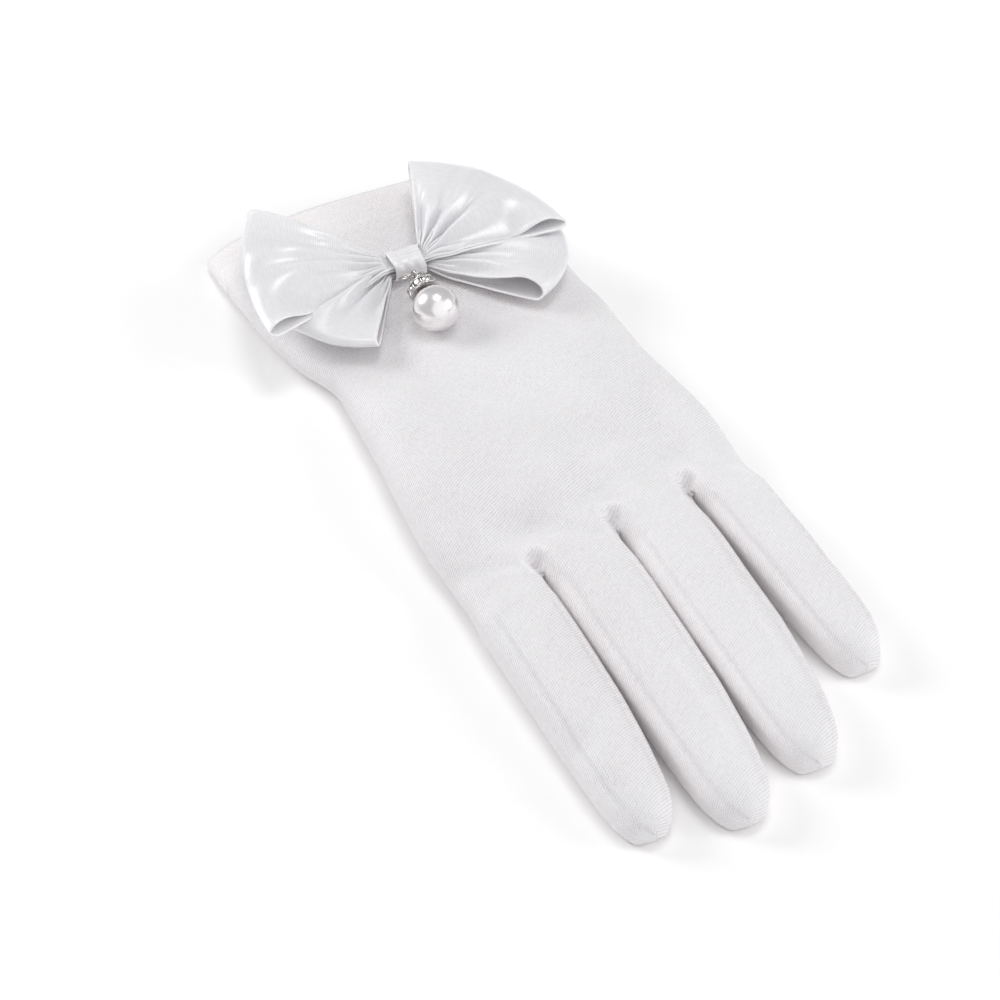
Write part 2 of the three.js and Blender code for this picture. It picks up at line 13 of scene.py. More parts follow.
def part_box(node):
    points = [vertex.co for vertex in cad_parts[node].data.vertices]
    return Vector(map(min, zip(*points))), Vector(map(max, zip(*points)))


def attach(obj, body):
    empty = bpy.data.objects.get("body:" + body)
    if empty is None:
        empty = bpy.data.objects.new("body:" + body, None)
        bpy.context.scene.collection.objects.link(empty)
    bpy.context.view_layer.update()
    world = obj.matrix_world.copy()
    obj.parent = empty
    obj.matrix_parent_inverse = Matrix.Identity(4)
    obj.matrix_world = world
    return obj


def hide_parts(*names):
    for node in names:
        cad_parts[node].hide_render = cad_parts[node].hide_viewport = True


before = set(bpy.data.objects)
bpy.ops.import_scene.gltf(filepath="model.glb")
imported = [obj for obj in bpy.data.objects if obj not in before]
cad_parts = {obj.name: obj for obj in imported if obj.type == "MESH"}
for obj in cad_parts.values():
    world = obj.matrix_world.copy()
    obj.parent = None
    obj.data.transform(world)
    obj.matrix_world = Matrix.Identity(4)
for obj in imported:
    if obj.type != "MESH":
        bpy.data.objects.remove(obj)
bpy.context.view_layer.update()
mm = 0.001


def boxMiddle(name):
    low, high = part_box(name)
    return (np.array(low) + np.array(high)) / 2 / mm


cuffX = boxMiddle("knot_band")[0]
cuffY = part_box("back_panel")[1][1] / mm
cuffPlace = np.array([cuffX, cuffY, 0.0])


# Helpers for shapes

def lerp(a, b, share):
    return a + (b - a) * share


def smooth(value, low, high):
    share = np.clip((value - low) / (high - low), 0, 1)
    return share * share * (3 - 2 * share)


def bump(value, middle, width):
    return np.exp(-(((value - middle) / width) ** 2))


# A curve through the rows of a table that never swings past them
def smoothColumn(places, values, at):
    places, values, at = np.array(places, float), np.array(values, float), np.asarray(at, float)
    step = np.diff(places)
    slope = np.diff(values) / step
    turn = np.zeros(len(values))
    turn[0], turn[-1] = slope[0], slope[-1]
    same = slope[:-1] * slope[1:] > 0
    both = slope[:-1] + slope[1:]
    turn[1:-1][same] = 2 * slope[:-1][same] * slope[1:][same] / both[same]
    i = np.clip(np.searchsorted(places, at, side="right") - 1, 0, len(step) - 1)
    t = (at - places[i]) / step[i]
    return (
        (2 * t**3 - 3 * t**2 + 1) * values[i]
        + (t**3 - 2 * t**2 + t) * step[i] * turn[i]
        + (3 * t**2 - 2 * t**3) * values[i + 1]
        + (t**3 - t**2) * step[i] * turn[i + 1]
    )


def rowsOf(columns, text):
    numbers = np.array([[float(x) for x in line.split()] for line in text.strip().splitlines()])
    return {name: numbers[:, i] for i, name in enumerate(columns.split())}


# One row of such a table, read between its lines
def rowAt(table, place, places=None):
    places = table["along"] if places is None else places
    return {name: float(smoothColumn(places, table[name], place)) for name in table}


def meshPiece(name, points, faces, flow=None):
    mesh = bpy.data.meshes.new(name)
    mesh.from_pydata((np.asarray(points) * mm).tolist(), [], [list(map(int, f)) for f in faces])
    mesh.update()
    if flow is not None:
        layer = mesh.uv_layers.new(name="cloth")
        corners = np.zeros(len(mesh.loops), np.int32)
        mesh.loops.foreach_get("vertex_index", corners)
        layer.data.foreach_set("uv", (np.asarray(flow)[corners] * mm).astype(np.float32).ravel())
    mesh.polygons.foreach_set("use_smooth", np.ones(len(mesh.polygons), bool))
    piece = bpy.data.objects.new(name, mesh)
    bpy.context.scene.collection.objects.link(piece)
    return piece


# Quads between rings of the same count, each given as an array of point numbers
def ringQuads(rings, closed=True):
    near, far = rings[:-1], rings[1:]
    if closed:
        nearNext, farNext = np.roll(near, -1, axis=1), np.roll(far, -1, axis=1)
    else:
        nearNext, farNext = near[:, 1:], far[:, 1:]
        near, far = near[:, :-1], far[:, :-1]
    return np.stack([near, far, farNext, nearNext], axis=-1).reshape(-1, 4)


# Quads of a surface that closes both ways, from its number of rings and the points in each
def closedQuads(rings, count):
    ids = np.arange(rings * count).reshape(rings, count)
    return ringQuads(np.concatenate([ids, ids[:1]]))


def pointNormals(points, quads):
    a, b, c, d = (points[quads[:, i]] for i in range(4))
    face = np.cross(c - a, d - b)
    total = np.zeros_like(points)
    for i in range(4):
        np.add.at(total, quads[:, i], face)
    return total / np.maximum(np.linalg.norm(total, axis=1, keepdims=True), 1e-9)


# Turns the quads of a surface outward, by the sign of the room that they hold
def turnedOut(points, quads):
    a, b, c = (points[quads[:, i]] for i in range(3))
    room = np.einsum("ij,ij->i", a, np.cross(b, c)).sum()
    return quads[:, ::-1] if room < 0 else quads


# Each point moves towards the mean of its neighbours, by its own share
def relax(points, quads, share, times):
    pairs = np.concatenate([quads[:, [i, (i + 1) % 4]] for i in range(4)])
    pairs = np.concatenate([pairs, pairs[:, ::-1]])
    count = np.zeros(len(points))
    np.add.at(count, pairs[:, 0], 1)
    for _ in range(times):
        total = np.zeros_like(points)
        np.add.at(total, pairs[:, 0], points[pairs[:, 1]])
        mean = total / np.maximum(count, 1)[:, None]
        points = points + (mean - points) * share[:, None]
    return points


# A cloth of even wall from an open surface: a second surface inside it, and a rim along every open edge
def clothShell(points, quads, wall):
    normal = pointNormals(points, quads)
    inner = points - normal * np.asarray(wall)[:, None]
    count = len(points)
    edges = np.concatenate([quads[:, [i, (i + 1) % 4]] for i in range(4)])
    known = set(map(tuple, edges.tolist()))
    rim = [(b, a, a + count, b + count) for a, b in edges.tolist() if (b, a) not in known]
    faces = np.concatenate([quads, quads[:, ::-1] + count, np.array(rim)])
    used = np.unique(faces)
    place = np.full(2 * count, -1)
    place[used] = np.arange(len(used))
    return np.concatenate([points, inner])[used], place[faces], used % count


# The glove's cloth

glove = {
    "handLength": 120, "cuffWidth": 73, "waistTake": 8, "cuffDepth": 9.5, "palmDepth": 16.5,
    "knuckleDepth": 12.4, "knuckleSlant": 0.22, "palmDrift": 8.3, "valleyDepth": 1.5, "valleyWidth": 9,
    "fingerDepth": 13, "fingerGap": 1.1, "longestFinger": 80.5, "widestFinger": 18.8,
    "clothWall": 0.7, "hemWall": 1.1, "hemDepth": 11, "hemFold": 0.25, "hemStep": 0.6,
    "handRows": 124, "fingerRows": 76, "columns": 22, "sideSteps": 11,
    "handCorner": 0.9, "fingerCorner": 0.72, "crotchBlend": 9.5, "slim": (-0.85, 0.9), "webBulge": 1.6,
    "seamDepth": 0.42, "seamStart": (4, 14),
    "softness": 0.35, "softSize": (22, 22, 9), "fineSize": (8, 11, 6),
    "relaxShare": 0.8, "relaxReach": (3, 10), "relaxTimes": 18, "foldStart": 20, "floorGap": 0.02,
    # each shape: how square the crown is, its power, and how high the widest place lies
    "cuffShape": (3, 1.5, 0.18), "handShape": (2.6, 2.5, 0.42), "fingerShape": (2.4, 1.2, 0.62),
}
# widths and lengths are shares of the widest and the longest finger, and the lean is in degrees
fingers = {
    "index": {"width": 0.915, "length": 0.894, "lean": 1.6},
    "middle": {"width": 1, "length": 1, "lean": 1.7},
    "ring": {"width": 0.979, "length": 0.957, "lean": 1.7},
    "little": {"width": 0.809, "length": 0.758, "lean": 5},
}
handTable = rowsOf("along open waist cuff palm knuckle drift slant valley", """
    0    0   0    1    0    0    0    0    0
    0.09 0   0.03 1    0    0    0.03 0    0
    0.2  0.1 0.13 1    0    0    0.1  0    0
    0.33 0.2 0.44 0.92 0.08 0    0.3  0    0
    0.46 0.5 0.87 0.7  0.3  0    0.74 0    0
    0.6  0.8 0.8  0.2  0.8  0    0.7  0.15 0.1
    0.75 1   0.35 0    0.95 0.05 0.78 0.45 0.4
    0.87 1   0    0    0.5  0.5  0.92 0.8  0.9
    0.95 1   0.05 0    0    1    1    0.95 1
    1    1   0.12 0    0    1.03 1    1    1
""")
fingerTable = rowsOf("along width depth", """
    0     1    1
    0.3   0.99 0.97
    0.58  0.97 0.92
    0.76  0.93 0.87
    0.88  0.85 0.8
    0.95  0.7  0.69
    0.985 0.5  0.56
    1     0.27 0.42
    1.006 0.06 0.26
""")
thumb = {
    "length": 56, "width": 20, "depth": 7.4, "angle": 17, "inset": 21.5, "tipGap": 4.4,
    "holeAlong": 0.3, "holeLength": 22, "holeWidth": 12, "gap": 0.5, "edge": 0.3,
    "rows": 56, "columns": 26, "sideSteps": 7, "corner": 0.86, "rowEvenness": 0.55,
}
thumbTable = rowsOf("along width depth", """
    0    0.12 0.6
    0.01 0.34 0.72
    0.04 0.66 0.92
    0.14 0.94 1
    0.4  1    1
    0.68 0.92 1
    0.86 0.72 0.9
    0.96 0.44 0.72
    1    0.14 0.5
""")


# A section's upper half, and its lower half, which lies flat with a quick turn up at each side
def upperEdge(across, top, shape=glove["handShape"]):
    square, power, widest = shape
    room = np.clip(1 - np.abs(across) ** square, 0, 1)
    return top * (widest + (1 - widest) * room ** (1 / power))


def lowerEdge(across, top, shape=glove["handShape"]):
    room = np.clip(1 - np.abs(across) ** glove["handShape"][0], 0, 1)
    return top * shape[2] * (1 - np.minimum(1, 1.14 * room ** (1 / 5)))


# A section's ring: over the top from left to right, down the right side, back along the underside and up the
# left side
def sectionRing(halfWidth, top, tops, sideSteps, shape=glove["handShape"]):
    turn = np.linspace(math.acos(tops[-1]), 0, 60)
    down = np.concatenate([
        np.stack([np.cos(turn), upperEdge(np.cos(turn), top, shape)], 1),
        np.stack([np.cos(turn[::-1]), lowerEdge(np.cos(turn[::-1]), top, shape)], 1),
    ]) * [halfWidth, 1]
    run = np.concatenate([[0], np.cumsum(np.linalg.norm(np.diff(down, axis=0), axis=1))])
    at = np.linspace(0, run[-1], sideSteps + 1)[1:-1]
    side = np.stack([np.interp(at, run, down[:, 0]), np.interp(at, run, down[:, 1])], 1)
    over = np.stack([tops * halfWidth, upperEdge(tops, top, shape)], 1)
    under = np.stack([tops[::-1] * halfWidth, lowerEdge(tops[::-1], top, shape)], 1)
    ring = np.concatenate([over, side, under, side[::-1] * [-1, 1]])
    # how far each point lies across the cloth, for its knit
    across = np.concatenate([over[:, 0], over[-1, 0] + at, under[:, 0], over[0, 0] - at[::-1]])
    return ring, across


def handDepth(share):
    return sum(
        smoothColumn(handTable["along"], handTable[name], share) * glove[name + "Depth"]
        for name in ("cuff", "palm", "knuckle")
    )


# The slanting line of the knuckles, where the fingers start
def knuckleLine(x):
    return -glove["handLength"] + glove["knuckleSlant"] * (x - glove["palmDrift"])


sizes = [
    {"width": f["width"] * glove["widestFinger"], "length": f["length"] * glove["longestFinger"],
     "turn": math.radians(f["lean"])}
    for f in fingers.values()
]
knuckleWidth = sum(f["width"] for f in sizes) + 3 * glove["fingerGap"]
reached = glove["palmDrift"] - knuckleWidth / 2
for f in sizes:
    f["x"] = reached + f["width"] / 2
    f["y"] = knuckleLine(f["x"])
    reached += f["width"] + glove["fingerGap"]
webs = [(a["x"] + a["width"] / 2 + b["x"] - b["width"] / 2) / 2 for a, b in zip(sizes, sizes[1:])]
thumbTurn = math.radians(thumb["angle"])
thumbX = thumb["inset"] - glove["cuffWidth"] / 2
thumbY = -glove["handLength"] + thumb["tipGap"] + thumb["length"] * math.cos(thumbTurn)


def valleyAt(x):
    nearest = np.min([np.abs(x - web) for web in webs], axis=0)
    return 1 - smooth(nearest, 0, glove["valleyWidth"])


# Where a place in plan lies along the folded thumb and across it
def thumbPlace(x, y):
    along = (x - thumbX) * math.sin(thumbTurn) - (y - thumbY) * math.cos(thumbTurn)
    return along, (x - thumbX) * math.cos(thumbTurn) + (y - thumbY) * math.sin(thumbTurn)


# How high the folded thumb lifts the palm at a place in plan
def thumbLift(x, y, grow):
    along, across = thumbPlace(x, y)
    along = along / thumb["length"]
    inside = np.clip(along, 0, 1)
    half = smoothColumn(thumbTable["along"], thumbTable["width"], inside) * thumb["width"] / 2 + grow
    depth = smoothColumn(thumbTable["along"], thumbTable["depth"], inside) * thumb["depth"] + grow
    share = np.abs(across) / half
    edge = grow + thumb["edge"]
    past = np.maximum(np.maximum(-along, along - 1) * thumb["length"], 0) / edge
    reach = np.hypot(np.maximum(share - 1, 0) * half / edge, past)
    return upperEdge(np.minimum(share, 1), depth) * (1 - smooth(reach, 0.2, 1.4))


# Soft dents and folds of the back, and ridges along the fingers. Columns: middle, half length and half width
# of each, its direction in degrees from +X, and how far it rises or sinks.
folds = rowsOf("x y length width direction height", """
    2.5   -79.7  9.5  5.5  -59 -2.2
    16.7  -98.7  9.4  5.0  -61 -1.8
    31.9  -96.3  11.9 4.5  -89 -1.5
    -20.2 -92.6  15.1 9.0  -79 1.7
    -12.0 -62.0  16.0 5.0  -62 -1.6
    -20.0 -68.0  14.0 4.5  -66 1.2
    20.8  -68.0  11.6 7.0  -53 1.5
    2.3   -105.6 7.9  6.0  -87 1.1
    -19.8 -122.2 9.4  2.6  -9  -1.3
    -4.9  -117.5 12.9 3.2  -30 -1.4
    -25.1 -175.0 5.1  4.5  -72 -1.4
    -23.0 -188.4 5.4  3.0  -83 -0.8
    23.9  -117.5 9.0  4.0  -60 -1.1
    15.0  -116.3 6.0  4.0  -60 0.8
    16.8  -52.5  13.8 4.5  -57 -1.3
    2.6   -162.0 27.0 1.5  -87 0.45
    24.2  -154.0 26.0 1.4  -91 0.4
    45.5  -141.0 18.0 1.3  -92 0.35
    -21.5 -150.0 15.0 1.5  -92 0.3
""")


def foldHeight(x, y):
    total = np.zeros_like(x)
    for i in range(len(folds["x"])):
        angle = math.radians(folds["direction"][i])
        dx, dy = x - folds["x"][i], y - folds["y"][i]
        along = (dx * math.cos(angle) + dy * math.sin(angle)) / folds["length"][i]
        over = (dy * math.cos(angle) - dx * math.sin(angle)) / folds["width"][i]
        total += folds["height"][i] * np.exp(-(along**2) - over**2)
    return total


# Round each crotch the back of the hand runs down into the gap: a short valley with a soft rim and a few
# creases
pucker = {
    "pit": 2.6, "pitPower": 1.6, "reach": 3.4, "width": 1.1, "spread": 0.6, "fade": 7, "splay": 0.075,
    "rim": 0.55, "rimAt": 2.9, "rimWidth": 1, "crease": 0.12, "creases": 6, "creaseAt": 4.6, "creaseWidth": 3,
    "creaseCentre": 4, "backReach": 10,
}


def puckerHeight(x, y):
    total = np.zeros_like(x)
    for i, web in enumerate(webs):
        dy = y - knuckleLine(web)
        dx = x - web - pucker["splay"] * (i - 1) * dy
        grow = 1 - smooth(dy, 0, pucker["reach"])
        fade = 1 - smooth(-dy, 0, pucker["fade"])
        valley = np.exp(-((dx / (pucker["width"] + pucker["spread"] * grow)) ** 2))
        total -= pucker["pit"] * grow ** pucker["pitPower"] * fade * valley
        far = np.hypot(dx, np.maximum(dy, 0) * 0.85)
        back = smooth(dy, -pucker["backReach"], 0)
        total += pucker["rim"] * bump(far, pucker["rimAt"], pucker["rimWidth"]) * back
        turn = np.arctan2(dy + pucker["creaseCentre"], dx)
        wave = np.cos(pucker["creases"] * turn + i * 1.7 + 0.8 * np.sin(3 * turn + i))
        total += pucker["crease"] * wave * bump(far, pucker["creaseAt"], pucker["creaseWidth"]) * back
    return total


# The smooth outer surface of the hand and the fingers: its points, where they lie on the cloth, its quads,
# the points of the cuff's edge, and the points of each seam with how far it pulls in
def gloveSurface():
    k, s = glove["columns"], glove["sideSteps"]
    # columns run on from the hand into the fingers
    half = knuckleWidth / 2 - handTable["waist"][-1] * glove["waistTake"] / 2
    corner = glove["handCorner"] * half
    bounds = [-corner, *(web - glove["palmDrift"] for web in webs), corner]
    tops = [np.linspace(a, b, k + 1)[:-1] for a, b in zip(bounds, bounds[1:])]
    tops = np.concatenate([*tops, [bounds[-1]]]) / half
    points, flow, rings = [], [], []
    count = 0
    for share in np.linspace(0, 1, glove["handRows"]):
        row = rowAt(handTable, share)
        width = lerp(glove["cuffWidth"], knuckleWidth, row["open"]) - row["waist"] * glove["waistTake"]
        depth = float(handDepth(share))
        # the cuff lies flat, with a fold at each side near the floor
        opened = float(smooth(share, 0, 0.2))
        shape = [lerp(a, b, opened) for a, b in zip(glove["cuffShape"], glove["handShape"])]
        ring, across = sectionRing(width / 2, depth, tops, s, shape)
        x = row["drift"] * glove["palmDrift"] + ring[:, 0]
        y = -share * glove["handLength"] + row["slant"] * glove["knuckleSlant"] * ring[:, 0]
        z = ring[:, 1]
        z = z - glove["valleyDepth"] * row["valley"] * valleyAt(x) * smooth(z, depth / 2, depth)
        points.append(np.stack([x, y, z], 1))
        flow.append(np.stack([row["drift"] * glove["palmDrift"] + across, y], 1))
        rings.append(np.arange(count, count + len(ring)))
        count += len(ring)
    quads = [ringQuads(np.array(rings))]
    last = rings[-1]
    lastPoints = points[-1]

    # the place in a ring that lies under column c of its top
    def under(c):
        return 8 * k + s - c

    # the web between two fingers, from its top down, and how much cloth it takes
    webIds, webCloth = [], 8
    for i in range(3):
        c = (i + 1) * k
        high, low = lastPoints[c], lastPoints[under(c)]
        share = (np.arange(1, s) / s)[:, None]
        line = high + (low - high) * share
        line[:, 1] += glove["webBulge"] * np.sin(math.pi * share[:, 0])
        points.append(line)
        flow.append(np.stack([webs[i] + share[:, 0] * webCloth, line[:, 1]], 1))
        webIds.append(np.arange(count, count + s - 1))
        count += s - 1
    allPoints, allFlow = np.concatenate(points), np.concatenate(flow)
    fingerTops = np.linspace(-glove["fingerCorner"], glove["fingerCorner"], k + 1)
    tip = fingerTable["along"][-1]
    t = np.linspace(0, 1, glove["fingerRows"] + 1)[1:]
    shares = tip * (0.62 * t + 0.38 * np.sin(t * math.pi / 2) ** 0.9)  # rows lie closer towards the tip
    seams = []
    for i, f in enumerate(sizes):
        left = last[8 * k + s + 1:] if i == 0 else webIds[i - 1][::-1]
        right = last[4 * k + 1: 4 * k + s] if i == 3 else webIds[i]
        first = np.concatenate([
            last[i * k: (i + 1) * k + 1], right,
            last[[under(c) for c in range((i + 1) * k, i * k - 1, -1)]], left,
        ])
        start, firstFlow = allPoints[first], allFlow[first]
        heading = np.array([math.sin(f["turn"]), -math.cos(f["turn"]), 0.0])
        over = np.array([math.cos(f["turn"]), math.sin(f["turn"]), 0.0])
        fingerRings = [first]
        run, before = 0, (0, glove["fingerDepth"])
        for share in shares:
            row = rowAt(fingerTable, share)
            width, depth = row["width"] * f["width"], row["depth"] * glove["fingerDepth"]
            # the right side runs a little in or out of the plain finger
            slim = lerp(*glove["slim"], smooth(share, 0.5, 1)) if i < 3 else 0
            width -= slim * width / f["width"]
            ring, across = sectionRing(width / 2, depth, fingerTops, s, glove["fingerShape"])
            along = share * f["length"]
            middle = np.array([f["x"], f["y"], 0.0]) + heading * along
            target = middle + (ring[:, :1] - slim / 2) * over + ring[:, 1:] * np.array([0, 0, 1.0])
            tipLift = 0.12 * glove["fingerDepth"] * smooth(share, 0.985, tip)
            target[:, 2] += tipLift * (1 - target[:, 2] / glove["fingerDepth"])
            blend = smooth(along, 0, glove["crotchBlend"])
            points.append((start + heading * along) * (1 - blend) + target * blend)
            run += math.hypot(along - before[0], depth - before[1])
            before = (along, depth)
            own = np.stack([f["x"] + across, np.full(len(ring), f["y"] - run)], 1)
            flow.append((firstFlow - [0, run]) * (1 - blend) + own * blend)
            ids = np.arange(count, count + len(ring))
            seamShare = smooth(along, *glove["seamStart"]) * (1 - 0.7 * smooth(share, 0.85, 1))
            seams += [(ids[[0, k]], seamShare), (ids[[k + s, 2 * k + s]], seamShare)]
            fingerRings.append(ids)
            count += len(ring)
        quads.append(ringQuads(np.array(fingerRings)))
        quads.append(endCap(fingerRings[-1])[:, [0, 3, 2, 1]])
    points, flow, quads = np.concatenate(points), np.concatenate(flow), np.concatenate(quads)
    return points, flow, turnedOut(points, quads), rings[0], seams


def gloveCloth():
    points, flow, quads, cuffEdge, seams = gloveSurface()
    # soften the crotches
    share = np.zeros(len(points))
    for web in webs:
        far = np.hypot(points[:, 0] - web, points[:, 1] - knuckleLine(web))
        share = np.maximum(share, glove["relaxShare"] * (1 - smooth(far, *glove["relaxReach"])))
    share[cuffEdge] = 0
    points = relax(points, quads, share, glove["relaxTimes"])
    # dents, folds and puckers of the back
    x, y, z = points.T
    crown = smooth(pointNormals(points, quads)[:, 2], 0.05, 0.6)
    lift = foldHeight(x, y) + puckerHeight(x, y)
    points[:, 2] += lift * crown * smooth(-y, 0, glove["foldStart"])
    # the cloth never lies quite even
    normal = pointNormals(points, quads)
    broad, fine = points / glove["softSize"], points / glove["fineSize"] + [0, 40, 0]
    soft = np.array([noise.noise(Vector(a)) + 0.4 * noise.noise(Vector(b)) for a, b in zip(broad, fine)])
    points += normal * (glove["softness"] * soft * smooth(z, 1.5, 6))[:, None]
    # the seams pull in
    for ids, seamShare in seams:
        points[ids] -= normal[ids] * glove["seamDepth"] * seamShare
    # the palm lies over the folded thumb
    facesFloor = -0.3
    floorSide = normal[:, 2] < facesFloor
    lifted = thumbLift(x, y, thumb["gap"])
    inHand = np.arange(len(points)) < glove["handRows"] * len(cuffEdge)
    points[:, 2] = np.where(floorSide & inHand, np.maximum(points[:, 2], lifted), points[:, 2])
    points[:, 2] = np.maximum(points[:, 2], glove["floorGap"])
    # the thumb's hole in the palm
    middle = points[quads].mean(axis=1)
    hole = thumbHole(middle) & (middle[:, 2] < 11) & (normal[quads].mean(axis=1)[:, 2] < facesFloor)
    quads = quads[~hole]
    hemDepth, hemStep = glove["hemDepth"], glove["hemStep"]
    hem = 1 - smooth(-points[:, 1], hemDepth - hemStep, hemDepth + hemStep)
    points += normal * (glove["hemFold"] * hem * smooth(-points[:, 1], 0.2, 1.4))[:, None]
    wall = lerp(glove["clothWall"], glove["hemWall"], hem)
    shell, faces, source = clothShell(points, quads, wall)
    return meshPiece("gloveCloth", shell + cuffPlace, faces, flow[source])


# Quads that close a section's ring at its end
def endCap(ring):
    n = len(ring)
    j = np.arange(n // 2 - 1)
    return np.stack([ring[j], ring[j + 1], ring[n - 2 - j], ring[n - 1 - j]], 1)


# Which places lie in the open oval between the thumb and the palm
def thumbHole(places):
    along, across = thumbPlace(places[:, 0], places[:, 1])
    a = (along - thumb["length"] * thumb["holeAlong"]) / (thumb["holeLength"] / 2)
    return a**2 + (across / (thumb["holeWidth"] / 2)) ** 2 < 1


def thumbCloth():
    k, s = thumb["columns"], thumb["sideSteps"]
    tops = np.linspace(-thumb["corner"], thumb["corner"], k + 1)
    points, flow, rings = [], [], []
    count = 0
    crowded = 0.5 - 0.5 * np.cos(np.linspace(0, math.pi, thumb["rows"]))  # rows lie closer towards both ends
    for share in lerp(crowded, np.linspace(0, 1, thumb["rows"]), thumb["rowEvenness"]):
        row = rowAt(thumbTable, share)
        ring, across = sectionRing(row["width"] * thumb["width"] / 2, row["depth"] * thumb["depth"], tops, s)
        along = share * thumb["length"]
        x = thumbX + along * math.sin(thumbTurn) + ring[:, 0] * math.cos(thumbTurn)
        y = thumbY - along * math.cos(thumbTurn) + ring[:, 0] * math.sin(thumbTurn)
        points.append(np.stack([x, y, ring[:, 1]], 1))
        flow.append(np.stack([thumbX + across, np.full(len(ring), thumbY - along)], 1))
        rings.append(np.arange(count, count + len(ring)))
        count += len(ring)
    quads = [ringQuads(np.array(rings)), endCap(rings[0]), endCap(rings[-1])[:, ::-1]]
    points, flow, quads = np.concatenate(points), np.concatenate(flow), np.concatenate(quads)
    quads = turnedOut(points, quads)
    normal = pointNormals(points, quads)
    middle = points[quads].mean(axis=1)
    hole = thumbHole(middle) & (normal[quads].mean(axis=1)[:, 2] > 0.3)
    shell, faces, source = clothShell(points, quads[~hole], np.full(len(points), glove["clothWall"]))
    shell[:, 2] = np.maximum(shell[:, 2], glove["floorGap"])
    return meshPiece("thumbCloth", shell + cuffPlace, faces, flow[source])


gloveBody = gloveCloth()
thumbPouch = thumbCloth()
print("glove cloth:", len(gloveBody.data.polygons), "faces; thumb:", len(thumbPouch.data.polygons))


# The bows

bows = {
    "wall": 0.32, "seamGap": 0.3, "gatherDepth": 1.7, "layerGap": 0.35, "solidWall": 1, "knotFromCuff": 30,
    "knotWidth": 7.4, "pinchWidth": 4.2, "bandWall": 1, "loopReach": 37, "acrossSteps": 110, "loopSteps": 72,
    "selvage": 0.12, "weaveWidth": 38,
    # how many gathers there are, how much of the spare width they take, how much deeper the joined ones are
    "gathers": 8, "gatherShare": 0.8, "coarseDepth": 1.7, "wander": 0.06, "foldHeight": 1.5,
    # where the lower edge of a loop closes and its mouth rises, as shares of the reach
    "closedShare": 0.96, "opening": 0.32, "mouthAt": 0.84, "mouthWidth": 0.17,
}
loopTable = rowsOf("reach rise layer", """
    0     0    1
    0.12  0.26 1
    0.27  0.62 1
    0.46  0.92 1
    0.66  1    1
    0.85  0.9  1
    0.96  0.72 0.96
    1     0.58 0.6
    0.985 0.46 0.2
    0.93  0.42 0
    0.76  0.46 0
    0.52  0.46 0
    0.28  0.38 0
    0.12  0.2  0
    0     0    0
""")
# One loop each: the way it points and its spread in degrees, its reach at both edges and in the middle as
# shares, how it lifts, and its folds. A fold's columns say where its ridge starts and ends across the ribbon
# (from -1 at the finger's edge to 1 at the cuff's), its height, its half width, and how far out it runs as a
# share of the loop.
upperRight = {
    "side": 1, "heading": 32.5, "spread": 81, "cuffEdge": 0.79, "middle": 0.86, "fingerEdge": 1.01,
    "lift": 0.28, "open": 0.62, "phase": 0.6, "mouth": 1.3, "swing": 3,
    "folds": rowsOf("from to height width run", """
        0.5   0.66  1.0 0.2  0.75
        0.1   0.16  1.8 0.15 1.1
        -0.3  -0.36 1.4 0.16 1
        -0.8  -0.7  0.8 0.2  0.8
    """),
}
upperLeft = {
    "side": -1, "heading": 13.5, "spread": 65, "cuffEdge": 1.03, "middle": 0.99, "fingerEdge": 1.1,
    "lift": 0.25, "open": 0.66, "phase": 2.1, "mouth": 1.3, "swing": 3,
    "folds": rowsOf("from to height width run", """
        0.62  0.66  0.9 0.2  0.8
        0.14  0.2   1.8 0.15 1.15
        -0.26 -0.36 1.6 0.16 1.1
        -0.74 -0.74 0.8 0.2  0.7
    """),
}
lowerRight = {
    "side": 1, "heading": -22, "spread": 54, "cuffEdge": 0.97, "middle": 1, "fingerEdge": 0.9, "lift": 0,
    "open": 0.35, "phase": 1.2, "mouth": 2.2, "swing": 3,
    "folds": rowsOf("from to height width run", """
        0.3   0.2   1.0 0.16 1.05
        -0.5  -0.6  0.7 0.2  0.7
    """),
}
lowerLeft = {
    "side": -1, "heading": -29, "spread": 62, "cuffEdge": 0.86, "middle": 0.86, "fingerEdge": 0.76, "lift": 0,
    "open": 0.9, "phase": 0.2, "mouth": 0.5, "swing": 2,
    "folds": rowsOf("from to height width run", """
        0.1   0.05  1.5 0.17 1.15
        -0.6  -0.6  0.7 0.2  0.7
    """),
}
upperBow = {
    "loops": (upperRight, upperLeft), "order": 1, "puff": 5.5, "under": 1, "ribbonWidth": 36, "length": 132,
}
lowerBow = {
    "loops": (lowerRight, lowerLeft), "order": 0, "puff": 2, "under": -0.4, "ribbonWidth": 30, "length": 124,
}

knotY = -bows["knotFromCuff"]


def handTop(y):
    return handDepth(np.clip(-np.asarray(y) / glove["handLength"], 0, 1))


bandReach = bows["pinchWidth"] / 2 + bows["seamGap"] * 1.5 + bows["bandWall"]
bandFloor = float(handTop(knotY - bandReach)) + 0.3
stackFloor = bandFloor + bows["bandWall"] + bows["seamGap"]
bandTop = stackFloor + bows["gatherDepth"] * 2 + bows["layerGap"] + bows["seamGap"] + bows["bandWall"]


def gathered(bow, layer, across):
    floor = stackFloor + bow["order"] * (bows["gatherDepth"] + bows["layerGap"]) + bows["solidWall"] / 2
    return across * bows["pinchWidth"] / 2, floor + layer * (bows["gatherDepth"] - bows["solidWall"])


